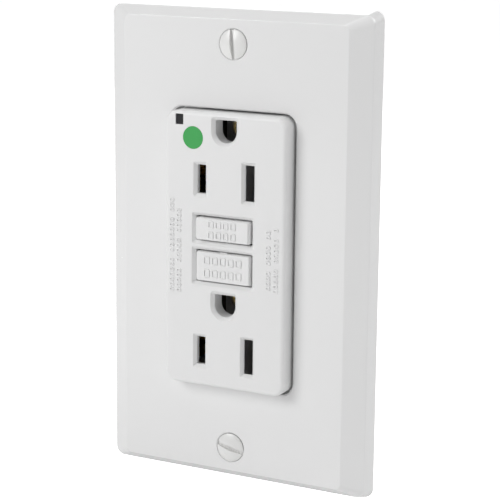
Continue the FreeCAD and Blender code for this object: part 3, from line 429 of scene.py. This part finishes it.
# The finish of each CAD node, by material slot.
NODE_SLOTS = {
    "wall_plate": "white_plastic", "face_cover": "face_plastic", "test_button": "button_plastic",
    "reset_button": "button_plastic", "plate_screws": "painted_screw", "green_dot": "green_mark",
    "indicator_light_pipe": "clear_plastic", "mounting_strap": "galvanized_steel",
    "box_screws": "zinc_steel", "assembly_screws": "zinc_steel", "ground_screw": "green_screw",
    "ground_clamp": "zinc_steel", "screw_retainers": "nylon", "upper_ground_contact": "brass",
    "lower_ground_contact": "brass", "neutral_face_contacts": "brass", "hot_face_contacts": "brass",
    "neutral_line_terminal": "brass", "hot_line_terminal": "brass", "line_conductors": "copper",
    "hot_contact_arm": "copper", "neutral_contact_arm": "copper", "middle_housing": "grey_plastic",
    "rear_housing": "housing_plastic", "contact_carrier": "grey_plastic", "latch_plate": "zinc_steel",
    "solenoid_plunger": "bare_steel", "plunger_spring": "bare_steel", "reset_spring": "bare_steel",
    "reset_pin": "bare_steel", "solenoid_bobbin": "nylon", "solenoid_coil": "copper",
    "solenoid_frame": "zinc_steel", "test_spring_arm": "copper", "test_post": "brass",
    "circuit_board": "board_green", "transformer_cup": "black_plastic",
    "ground_fault_core": "core_alloy", "neutral_fault_core": "core_alloy", "core_windings": "copper",
    "indicator_lamp": "clear_plastic", "surge_varistor": "blue_coating",
    "film_capacitor": "yellow_coating", "control_chip": "black_plastic", "thyristor": "black_plastic",
    "resistors": "tan_coating", "rectifier_diodes": "black_plastic",
}
TERMINALS = []
for circuit, end in (("line", LOWER), ("load", UPPER)):
    for pole, side in (("hot", LEFT), ("neutral", RIGHT)):
        TERMINALS.append((f"{circuit}_{pole}_screw", side, end))
        NODE_SLOTS[f"{circuit}_{pole}_screw"] = "brass" if pole == "hot" else "zinc_steel"
        NODE_SLOTS[f"{circuit}_{pole}_clamp"] = "zinc_steel"


def finished_node(node):
    """A CAD node with its finish and slightly rounded edges; its own mesh stays as it is."""
    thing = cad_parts[node]
    thing.data.materials.clear()
    thing.data.materials.append(MATERIAL[NODE_SLOTS[node]])
    flat = thing.modifiers.new("merge flat faces", "DECIMATE")
    flat.decimate_type = "DISSOLVE"
    flat.angle_limit = math.radians(1)
    edge = thing.modifiers.new("rounded edges", "BEVEL")
    edge.width = 0.12 * MM
    edge.segments = 2
    edge.limit_method = "ANGLE"
    edge.angle_limit = math.radians(35)
    edge.harden_normals = True


for node_name in NODE_SLOTS:
    finished_node(node_name)


# ---- Wall plate ------------------------------------------------------------------------------

def plate_level(inset_side, inset_end, corner, y, rounding):
    """One outline of the plate, pulled in from its outermost edge."""
    return (PLATE_WIDTH - 2 * inset_side, PLATE_HEIGHT - 2 * inset_end, corner, y, rounding)


def wall_plate():
    """The bevelled cover plate: shell, stiffeners behind it, opening and screw seats."""
    rim = PLATE_RIM_INSET
    flat_side, flat_end = PLATE_FLAT_INSET_SIDE, PLATE_FLAT_INSET_END
    outside = [plate_level(0, 0, 2.4, 0, 0),
               plate_level(rim, rim, 2.2, PLATE_RIM, 0.55),
               plate_level(flat_side, flat_end, 1.6, PLATE_FRONT, 0.28),
               plate_level(flat_side + 1.2, flat_end + 1.2, 0.6, PLATE_FRONT, 0)]
    inside = [plate_level(2.4, 2.4, 1.4, 0, 0),
              plate_level(rim + 2.2, rim + 2.2, 1.2, -2.4, 0.4),
              plate_level(flat_side + 1.6, flat_end + 2.2, 0.8, PLATE_FRONT + PLATE_SKIN, 0)]
    skin = softened(outside)[::-1] + softened(inside)
    plate = lofted([rounded_loop(w, h, r, y) for w, h, r, y in skin])

    behind = PLATE_FRONT + PLATE_SKIN - 0.3
    frame_wide, frame_tall = OPENING_WIDTH + 3.2, OPENING_HEIGHT + 3.2
    stiffeners = [rounded_solid([(frame_wide, frame_tall, OPENING_CORNER + 1.6, behind, 0),
                                 (frame_wide, frame_tall, OPENING_CORNER + 1.6, -2.0, 0)])]
    reach = PLATE_WIDTH / 2 - 3.5
    for rib_z in (-26, -9, 9, 26):
        stiffeners.append(block((-reach, reach), (behind, -2.8), (rib_z - 0.5, rib_z + 0.5), 0))
    for x in (-28.5, 28.5):
        for z in (-49.0, 49.0):
            stiffeners.append(aimed(turned([(1.75, 0), (1.7, -behind - 0.2), (1.5, -behind)], 32),
                                    (x, behind, z), Y_AXIS))
    for z in (-PLATE_SCREW_Z, PLATE_SCREW_Z):
        stiffeners.append(aimed(turned([(3.2, 0), (3.1, -1.6 - behind), (2.9, -1.4 - behind)], 40),
                                (0, behind, z), Y_AXIS))
    plate = combined(plate, stiffeners, "UNION")

    lip = 0.35
    cuts = [lofted([rounded_loop(OPENING_WIDTH + 2 * g, OPENING_HEIGHT + 2 * g, OPENING_CORNER + g,
                                 PLATE_FRONT + y) for g, y in mouth_profile(lip, 7.4)])]
    for z in (-PLATE_SCREW_Z, PLATE_SCREW_Z):
        seat = softened([(4.4, -0.5, 0), (3.78, 0.0, 0.1), (1.9, 2.1, 0.1), (1.9, 7.0, 0)], 3)
        cuts.append(aimed(turned(seat), (0, PLATE_FRONT, z), Y_AXIS))
    return combined(plate, cuts, "DIFFERENCE")


piece("wall_plate_moulding", wall_plate(), MATERIAL["white_plastic"], "device",
      ["wall_plate"])


# ---- Face cover ------------------------------------------------------------------------------

def slot_cut(size, corner, lead_in, centre, throat=None):
    """The cutter for a rectangular opening through the face."""
    width, height = size
    return lofted([rounded_loop(width + 2 * g, height + 2 * g, corner + 0.3 * max(g, 0), FACE_FRONT + y,
                                centre) for g, y in mouth_profile(lead_in, FACE_THICKNESS + 1, throat)])


def ground_loop(growth, y, blade_z):
    """A hole with a round bottom and a flat top whose corners are slightly round."""
    half, top = GROUND_HALF_WIDTH + growth, GROUND_TOP + growth
    centre = blade_z + GROUND_ABOVE_BLADES
    corner = 0.35 + growth * 0.5
    points = []
    for step in range(25):
        angle = math.pi + math.pi * step / 24
        points.append((half * math.cos(angle), y, centre + half * math.sin(angle)))
    for sx, first in ((1, 0.0), (-1, math.pi / 2)):
        for step in range(7):
            angle = first + math.pi / 2 * step / 6
            points.append((sx * (half - corner) + corner * math.cos(angle), y,
                           centre + top - corner + corner * math.sin(angle)))
    return points


def ground_cut(blade_z):
    """The cutter for a ground hole, through the face and the collar behind it."""
    depth = GROUND_COLLAR_BACK - FACE_FRONT + 1
    return lofted([ground_loop(g, FACE_FRONT + y, blade_z) for g, y in mouth_profile(GROUND_LEAD_IN, depth)])


def ground_collar(blade_z):
    """The wall that guides a ground pin behind the face."""
    wall, back = GROUND_COLLAR_WALL, GROUND_COLLAR_BACK
    return lofted([ground_loop(wall, FACE_FRONT + FACE_THICKNESS - 0.3, blade_z),
                   ground_loop(wall, back - 0.15, blade_z), ground_loop(wall - 0.15, back, blade_z)])


def face_cover():
    """The raised face on its wide shoulder, open at the back."""
    edge = FACE_EDGE
    face, body = (FACE_WIDTH, FACE_HEIGHT), (BODY_WIDTH, BODY_HEIGHT)
    outside = [(face[0] - 2 * edge - 1, face[1] - 2 * edge - 1, FACE_CORNER - edge, FACE_FRONT)]
    for step in range(11):
        angle = step / 10 * math.pi / 2
        pull = edge * (1 - math.sin(angle))
        outside.append((face[0] - 2 * pull, face[1] - 2 * pull, FACE_CORNER - pull,
                        FACE_FRONT + edge * (1 - math.cos(angle))))
    outside += [(face[0], face[1], FACE_CORNER, SHOULDER_FRONT - 0.3),
                (face[0] + 0.2, face[1] + 0.2, FACE_CORNER, SHOULDER_FRONT - 0.08),
                (face[0] + 0.6, face[1] + 0.6, FACE_CORNER, SHOULDER_FRONT),
                (body[0] - 0.8, body[1] - 0.8, BODY_CORNER - 0.4, SHOULDER_FRONT),
                (body[0] - 0.24, body[1] - 0.24, BODY_CORNER - 0.12, SHOULDER_FRONT + 0.12),
                (body[0], body[1], BODY_CORNER, SHOULDER_FRONT + 0.4),
                (body[0], body[1], BODY_CORNER, BODY_SPLIT)]
    wall, inner_wall = 2 * BODY_WALL, 2 * FACE_WALL
    shoulder_back = SHOULDER_FRONT + BODY_WALL
    inside = [(body[0] - wall, body[1] - wall, 0.9, BODY_SPLIT),
              (body[0] - wall, body[1] - wall, 0.9, shoulder_back),
              (face[0] - inner_wall, face[1] - inner_wall, 0.5, shoulder_back),
              (face[0] - inner_wall, face[1] - inner_wall, 0.5, FACE_FRONT + FACE_THICKNESS)]
    cover = lofted([rounded_loop(*level) for level in outside + inside])

    posts = []
    for x, z in CORNERS:
        posts.append(aimed(turned([(2.6, 0), (2.6, 5.55), (2.5, 5.65)], 32), (x, shoulder_back - 0.5, z),
                           Y_AXIS))
    collars = [ground_collar(blade_z) for blade_z in OUTLET_CENTRES_Z]
    cover = combined(cover, posts + collars, "UNION")

    neck = NECK_HALF_WIDTH + 0.3
    cuts = []
    for side in (LOWER, UPPER):
        ends = sorted((side * (FACE_HEIGHT / 2 - FACE_WALL - 0.1), side * (BODY_HEIGHT / 2 + 1)))
        cuts.append(block((-neck, neck), (-STRAP_THICKNESS - 0.15, BODY_SPLIT + 1), ends, 0))
    for x, z in CORNERS:
        cuts.append(aimed(turned([(1.3, 0), (1.3, 9)], 24), (x, 3.6, z), Y_AXIS))
    for blade_z in OUTLET_CENTRES_Z:
        cuts.append(slot_cut(HOT_SLOT, 0.15, BLADE_LEAD_IN, (-BLADE_X, blade_z), HOT_THROAT))
        cuts.append(slot_cut(NEUTRAL_SLOT, 0.15, BLADE_LEAD_IN, (BLADE_X, blade_z), NEUTRAL_THROAT))
        cuts.append(ground_cut(blade_z))
    cover = combined(cover, cuts, "DIFFERENCE")

    window = (WINDOW[0] + 0.1, WINDOW[1] + 0.1)
    cuts = [slot_cut(TEST_POCKET, 0.3, POCKET_LEAD_IN, (BUTTON_X, TEST_Z)),
            slot_cut(window, 0.12, 0.06, (WINDOW_X, WINDOW_Z)),
            aimed(turned([(DOT_RADIUS + 0.06, -0.5), (DOT_RADIUS + 0.03, 0.0), (DOT_RADIUS + 0.02, 0.25)]),
                  (DOT_X, FACE_FRONT, DOT_Z), Y_AXIS)]
    cover = combined(cover, cuts, "DIFFERENCE")
    return combined(cover, [slot_cut(RESET_POCKET, 0.3, POCKET_LEAD_IN, (BUTTON_X, RESET_Z))],
                    "DIFFERENCE")


piece("face_cover_moulding", face_cover(), MATERIAL["face_plastic"], "device",
      ["face_cover"])


# ---- Buttons ---------------------------------------------------------------------------------

def button_cap(top, base, proud, centre_z, tab_front):
    """A push button with sloped sides and a stop tab at each end."""
    front = FACE_FRONT - proud
    centre = (BUTTON_X, centre_z)
    cap = rounded_solid([(top[0] - 1.0, top[1] - 1.0, 0.3, front, 0), (top[0], top[1], 0.45, front, 0.16),
                         (base[0], base[1], 0.5, front + 0.8, 0.14), (base[0], base[1], 0.5, -5.2, 0.0),
                         (base[0] - 0.3, base[1] - 0.3, 0.4, -5.0, 0)], centre)
    tabs = block((BUTTON_X - 8.7, BUTTON_X + 8.7), (tab_front, tab_front + 1.1),
                 (centre_z - 1.6, centre_z + 1.6), 0.1)
    return combined(cap, [tabs], "UNION")


def outlined_mark(x, z, width, height, y, line=0.28, proud=0.22):
    """A raised rectangular outline, used as a neutral mark."""
    loops = []
    for growth, depth in ((0, 0.06), (0, -proud + 0.03), (-0.03, -proud), (-line + 0.03, -proud),
                          (-line, -proud + 0.03), (-line, 0.06)):
        loops.append(rounded_loop(width + 2 * growth, height + 2 * growth, 0.32 + growth, y + depth, (x, z)))
    return lofted(loops, ring=True)


def button_marks(centre_z, row_z, count, pitch, size, front):
    """Two rows of neutral outlines across a button."""
    marks = []
    for row in (LOWER, UPPER):
        for index in range(count):
            x = BUTTON_X + (index - (count - 1) / 2) * pitch
            marks.append(outlined_mark(x, centre_z + row * row_z, size[0], size[1], front))
    return together(marks)


STOP_FRONT = FACE_FRONT + FACE_THICKNESS
test_cap = button_cap(TEST_TOP, TEST_BASE, TEST_PROUD, TEST_Z, STOP_FRONT + 0.05)
stem_tip = [(1.2 * math.cos(k * math.pi / 16), 7.55 + 1.2 * math.sin(k * math.pi / 16)) for k in range(8)]
test_stem = aimed(turned([(1.2, 0)] + stem_tip, 32), (0, -6, TEST_Z), Y_AXIS)
piece("test_button_cap", combined(test_cap, [test_stem], "UNION"), MATERIAL["button_plastic"],
      "test_button", ["test_button"])
piece("test_button_marks", button_marks(TEST_Z, 1.25, 4, 1.95, (1.45, 1.75), FACE_FRONT - TEST_PROUD),
      MATERIAL["button_plastic"], "test_button")

reset_cap = button_cap(RESET_TOP, RESET_BASE, RESET_PROUD, RESET_Z, STOP_FRONT + RESET_TRAVEL + 0.05)
rib_top = RESET_Z + RESET_BASE[1] / 2 + 0.12
rib = block((BUTTON_X - 0.9, BUTTON_X + 0.9), (FACE_FRONT + 0.5, -5.02), (RESET_Z, rib_top), 0.05)
socket = aimed(turned([(1.22, 0), (1.22, 4)], 32), (0, -8.0, RESET_Z), Y_AXIS)
reset_cap = combined(combined(reset_cap, [rib], "UNION"), [socket], "DIFFERENCE")
piece("reset_button_cap", reset_cap, MATERIAL["button_plastic"], "reset_button",
      ["reset_button"])
piece("reset_button_marks", button_marks(RESET_Z, 1.55, 5, 2.1, (1.6, 1.95), FACE_FRONT - RESET_PROUD),
      MATERIAL["button_plastic"], "reset_button")


# ---- Small marks on the face -----------------------------------------------------------------

def mark_column(x, low, high, group):
    """A column of small raised outlines beside the buttons, with a break after each group."""
    marks = []
    pitch, size = 1.2, (1.2, 0.85)
    for index in range(int((high - low) / pitch)):
        if index % group != group - 1:
            marks.append(outlined_mark(x, low + index * pitch, size[0], size[1], FACE_FRONT, 0.26, 0.2))
    return marks


# Each column's place across the face, its lower and upper end, and how many steps make a group.
MARK_COLUMNS = ((-14.0, -10, 13, 8), (-12.1, -10, 11.5, 6), (11.6, -7, 8.5, 5), (13.6, -7.5, 9, 6))
columns = [mark for column in MARK_COLUMNS for mark in mark_column(*column)]
piece("face_marks", together(columns), MATERIAL["face_plastic"], "device")


# ---- Screws ----------------------------------------------------------------------------------

def thread(radius, start, end, pitch=0.794, depth=0.22):
    """A helical ridge from one height to another, thinning out at both ends."""
    turns = (end - start) / pitch
    count = int(turns * 28)
    loops = []
    for index in range(count + 1):
        t = index / count
        angle = 2 * math.pi * turns * t
        height = start + (end - start) * t
        rise = depth * min(1.0, t * turns, (1 - t) * turns) + 0.02
        half = pitch * 0.36
        loops.append([((radius - depth + out) * math.cos(angle), (radius - depth + out) * math.sin(angle),
                       height + up) for out, up in ((-0.08, -half), (rise - 0.03, -0.05),
                                                    (rise - 0.03, 0.05), (-0.08, half))])
    return lofted(loops)


def screw_shank(radius, length, neck=None, depth=0.22):
    """A threaded shank along Z with a chamfered tip; neck is the (radius, length) of its plain part."""
    core = radius - depth
    neck_radius, neck_length = neck or (radius - 0.02, 0.45)
    shaft = turned([(neck_radius, -0.3), (neck_radius, neck_length), (core, neck_length + 0.25),
                    (core, length - 0.6), (core - 0.35, length - 0.02), (core - 0.4, length)], 36)
    return [shaft, thread(radius, neck_length + 0.35, length - 0.5, depth=depth)]


def slotted_head(profile, slot_half, slot_floor, top, angle=0.0):
    """A turned head with a screwdriver slot whose edges are softened."""
    head = turned(profile)
    levels = softened([(slot_half + 0.35, top - 0.35, 0), (slot_half, top + 0.12, 0.1),
                       (slot_half, slot_floor, 0)], 3)
    reach = max(radius for radius, height in profile) + 1
    rows = []
    for half, height in levels:
        rows.append([(half, -reach, height), (half, reach, height), (-half, reach, height),
                     (-half, -reach, height)])
    slot = lofted(rows)
    bmesh.ops.rotate(slot, verts=slot.verts, matrix=Matrix.Rotation(angle, 3, "Z"))
    return combined(head, [slot], "DIFFERENCE")


def oval_screw(centre_z, slot_angle):
    """A painted oval-head screw in its seat; the slot turns about the screw's axis."""
    radius, dome = 3.5, 0.75
    sphere = (radius ** 2 + dome ** 2) / (2 * dome)
    profile = [(0.1, -dome)]
    for step in range(1, 13):
        across = (radius - 0.12) * step / 12
        profile.append((across, sphere - dome - math.sqrt(sphere ** 2 - across ** 2)))
    profile += [(radius - 0.03, 0.02), (radius, 0.1), (radius - 0.02, 0.2), (SMALL_SCREW_RADIUS, 1.95),
                (SMALL_SCREW_RADIUS - 0.05, 2.2)]
    head = slotted_head(profile, 0.5, 0.35, -dome, slot_angle)
    parts = [head] + [aimed(solid, (0, 0, 2.0), Z_AXIS) for solid in
                      screw_shank(SMALL_SCREW_RADIUS, 13.9)]
    return aimed(together(parts), (0, PLATE_FRONT, centre_z), Y_AXIS)


def pan_screw(start, axis, head_radius, head_height, shank_radius, length, neck=None):
    """A slotted pan-head screw; start is under its head."""
    h, r = head_height, head_radius
    under = (neck[0] if neck else shank_radius) - 0.02
    profile = softened([(0.1, -h, 0), (r * 0.8, -h, 0.5), (r, -h * 0.5, 0.4), (r, -0.05, 0.06),
                        (r - 0.06, 0.0, 0), (under, 0.0, 0), (under - 0.02, 0.2, 0)], 5)
    head = slotted_head(profile, 0.13 * r, -h * 0.55, -h)
    parts = [head] + screw_shank(shank_radius, length, neck)
    return aimed(together(parts), start, axis)


# The height of each plate screw, and its slot's angle from upright in degrees.
PLATE_SCREWS = ((PLATE_SCREW_Z, -5), (-PLATE_SCREW_Z, -76))
plate_heads = [oval_screw(z, math.radians(angle)) for z, angle in PLATE_SCREWS]
piece("plate_screws_oval", together(plate_heads), MATERIAL["painted_screw"], "device",
      ["plate_screws"])
box_neck = (BOX_SCREW_NECK_RADIUS, STRAP_THICKNESS + 0.3)
box_pair = [pan_screw((0, -STRAP_THICKNESS - 0.02, side * BOX_SCREW_Z), Y_AXIS, 3.4, 1.9,
                      SMALL_SCREW_RADIUS, 25.0, box_neck) for side in (LOWER, UPPER)]
piece("box_screws_threaded", together(box_pair), MATERIAL["zinc_steel"], "device",
      ["box_screws"])
assembly = [pan_screw((x, BODY_BACK - BACK_THICKNESS - 0.18, z), -Y_AXIS, 2.5, 1.7, 1.25, 23.0)
            for x, z in CORNERS]
piece("assembly_screws_threaded", together(assembly), MATERIAL["zinc_steel"], "device",
      ["assembly_screws"])
for name, side, end in TERMINALS:
    start = (side * (TERMINAL_PLATE_OUTER + 0.03), TERMINAL_Y, end * TERMINAL_Z)
    piece(name + "_threaded", pan_screw(start, -side * X_AXIS, 4.1, 2.8, TERMINAL_SCREW_RADIUS, 6.2),
          MATERIAL[NODE_SLOTS[name]], name, [name])
start = (GROUND_TAB_X + STRAP_THICKNESS + 1.26, GROUND_SCREW_Y, GROUND_SCREW_Z)
piece("ground_screw_threaded", pan_screw(start, -X_AXIS, 4.0, 2.2, TERMINAL_SCREW_RADIUS, 8.5),
      MATERIAL["green_screw"], "ground_screw", ["ground_screw"])


# ---- Springs and windings --------------------------------------------------------------------

def spring(start, axis, radius, wire, length, turns):
    """A compression spring whose end turns lie flat."""
    count = turns * 28
    path = []
    for index in range(count + 1):
        t = index / count
        turn = turns * t
        free = min(max((turn - 0.8) / (turns - 1.6), 0.0), 1.0)
        flat = 1.9 * wire * (min(turn, 0.8) + max(0.0, turn - (turns - 0.8)))
        height = wire + flat + free * (length - 2 * wire - 1.9 * wire * 1.6)
        path.append((radius * math.cos(2 * math.pi * turn), radius * math.sin(2 * math.pi * turn), height))
    return aimed(swept(path, wire, 10), start, axis)


reset_end = -4.95
coil = piece("reset_spring_coil", spring((0, reset_end, RESET_Z), Y_AXIS, 2.4, 0.28,
                                         FLOOR_FRONT - 0.05 - reset_end, 8),
             MATERIAL["bare_steel"], None, ["reset_spring"])
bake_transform(coil)
coil = piece("plunger_spring_coil", spring((0, MECHANISM_Y, 8.65), Z_AXIS, 2.75, 0.17, 2.75, 5),
             MATERIAL["bare_steel"], None, ["plunger_spring"])
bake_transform(coil)


def solenoid_winding():
    """The trip coil: layers of fine wire seen as close turns."""
    turns, length, outer, wire = 34, 10.9, 5.6, 0.16
    profile = [(3.05, 0.0)]
    for index in range(1, turns * 5):
        dip = 1 - abs(math.sin(math.pi * index / 5))
        profile.append((outer - wire * dip, length * index / (turns * 5)))
    profile.append((3.05, length))
    outside = aimed(turned(profile, 56), (0, MECHANISM_Y, 13.55), Z_AXIS)
    bore = aimed(turned([(3.03, -1), (3.03, 13)], 56), (0, MECHANISM_Y, 13.55), Z_AXIS)
    return combined(outside, [bore], "DIFFERENCE")


piece("solenoid_winding", solenoid_winding(), MATERIAL["copper"], "device", ["solenoid_coil"])


def ring_winding(front):
    """Wire wound round a ring core, leaving a gap where its ends come out."""
    turns, wire = 58, 0.17
    inner, outer = RING_CORE_INNER - wire - 0.1, RING_CORE_OUTER + wire + 0.1
    low, high = front - wire - 0.08, front + RING_CORE_DEPTH + wire + 0.08
    gap = math.radians(26)
    corners = [(outer, high), (inner, high), (inner, low), (outer, low)]
    path = []
    per_side = 5
    for index in range(turns * 4 * per_side):
        side, part = divmod(index % (4 * per_side), per_side)
        here, following = corners[side], corners[(side + 1) % 4]
        t = part / per_side
        radius = here[0] + (following[0] - here[0]) * t
        depth = here[1] + (following[1] - here[1]) * t
        angle = math.pi / 2 + gap / 2 + (2 * math.pi - gap) * index / (turns * 4 * per_side)
        path.append((radius * math.cos(angle), depth, TRANSFORMER_Z + radius * math.sin(angle)))
    return swept(path, wire, 6)


piece("ring_core_windings", together([ring_winding(front) for front in RING_CORE_FRONTS]),
      MATERIAL["copper"], "device", ["core_windings"])


# ---- Floor, light and camera -----------------------------------------------------------------

def stage_material():
    """Pale studio white that looks bright but throws little light up on the object."""
    material = bpy.data.materials.new("studio_white")
    material.use_nodes = True
    nodes, links = material.node_tree.nodes, material.node_tree.links
    shader = nodes["Principled BSDF"]
    noise = nodes.new("ShaderNodeTexNoise")
    noise.inputs["Scale"].default_value = 3
    tone = nodes.new("ShaderNodeMix")
    tone.data_type = "RGBA"
    tone.inputs["A"].default_value = (0.80, 0.80, 0.80, 1)
    tone.inputs["B"].default_value = (0.82, 0.82, 0.82, 1)
    links.new(noise.outputs["Fac"], tone.inputs["Factor"])
    links.new(tone.outputs["Result"], shader.inputs["Base Color"])
    shader.inputs["Roughness"].default_value = 0.9
    shader.inputs["Emission Color"].default_value = (1, 1, 1, 1)
    seen = nodes.new("ShaderNodeLightPath")
    glow = nodes.new("ShaderNodeMapRange")
    glow.inputs["To Min"].default_value = FLOOR_BOUNCE
    glow.inputs["To Max"].default_value = FLOOR_GLOW
    links.new(seen.outputs["Is Camera Ray"], glow.inputs["Value"])
    links.new(glow.outputs["Result"], shader.inputs["Emission Strength"])
    return material


floor_mesh = bpy.data.meshes.new("floor")
reach, floor_z = 4.0, (-PLATE_HEIGHT / 2 - FLOOR_BELOW) * MM
floor_mesh.from_pydata([(-reach, -reach, floor_z), (reach, -reach, floor_z), (reach, reach, floor_z),
                        (-reach, reach, floor_z)], [], [(0, 1, 2, 3)])
floor_mesh.materials.append(stage_material())
floor = bpy.data.objects.new("floor", floor_mesh)
bpy.context.scene.collection.objects.link(floor)


def area_light(name, place, aim, width, height, power):
    """A soft rectangular lamp; place and aim are in metres."""
    lamp = bpy.data.lights.new(name, "AREA")
    lamp.shape = "RECTANGLE"
    lamp.size, lamp.size_y, lamp.energy = width, height, power
    thing = bpy.data.objects.new(name, lamp)
    thing.location = place
    thing.rotation_euler = (Vector(place) - Vector(aim)).to_track_quat("Z", "Y").to_euler()
    bpy.context.scene.collection.objects.link(thing)


area_light("key", (-0.26, -0.44, 0.28), (0, 0, 0), 0.32, 0.32, 1.95)
area_light("right", (0.5, 0.09, 0.44), (0, 0, 0), 0.4, 0.4, 2.3)
area_light("above", (0.0, -0.12, 0.8), (0, 0, 0), 0.6, 0.3, 1.0)
area_light("behind", (-0.35, 0.55, 0.3), (0, 0.02, 0), 0.5, 0.5, 1.8)


def studio_world():
    """A white surround to the camera that adds only a little grey light of its own."""
    world = bpy.data.worlds.new("studio")
    world.use_nodes = True
    nodes, links = world.node_tree.nodes, world.node_tree.links
    seen = nodes.new("ShaderNodeLightPath")
    tone = nodes.new("ShaderNodeMix")
    tone.data_type = "RGBA"
    tone.inputs["A"].default_value = (0.14, 0.14, 0.14, 1)
    tone.inputs["B"].default_value = (1.05, 1.05, 1.05, 1)
    links.new(seen.outputs["Is Camera Ray"], tone.inputs["Factor"])
    links.new(tone.outputs["Result"], nodes["Background"].inputs["Color"])
    return world


bpy.context.scene.world = studio_world()

CAMERA_AZIMUTH, CAMERA_ELEVATION = math.radians(27.75), math.radians(12.08)
CAMERA_ROLL = math.radians(0.545)
CAMERA_DISTANCE, CAMERA_TARGET = 418.9, Vector((1.53, 0.0, -0.81))
CAMERA_LENS, SENSOR = 126.8, 36.0

back = Vector((math.sin(CAMERA_AZIMUTH) * math.cos(CAMERA_ELEVATION),
               -math.cos(CAMERA_AZIMUTH) * math.cos(CAMERA_ELEVATION), math.sin(CAMERA_ELEVATION)))
level_right = Vector((math.cos(CAMERA_AZIMUTH), math.sin(CAMERA_AZIMUTH), 0))
level_up = back.cross(level_right)
right = level_right * math.cos(CAMERA_ROLL) + level_up * math.sin(CAMERA_ROLL)
up = level_up * math.cos(CAMERA_ROLL) - level_right * math.sin(CAMERA_ROLL)
lens = bpy.data.cameras.new("camera")
lens.lens, lens.sensor_width = CAMERA_LENS, SENSOR
lens.clip_start, lens.clip_end = 0.01, 20
camera = bpy.data.objects.new("camera", lens)
place = (CAMERA_TARGET + back * CAMERA_DISTANCE) * MM
camera.matrix_world = Matrix.Translation(place) @ Matrix((right, up, back)).transposed().to_4x4()
bpy.context.scene.collection.objects.link(camera)
bpy.context.scene.camera = camera
bpy.context.scene.view_settings.view_transform = "Standard"
bpy.context.scene.view_settings.look = "None"
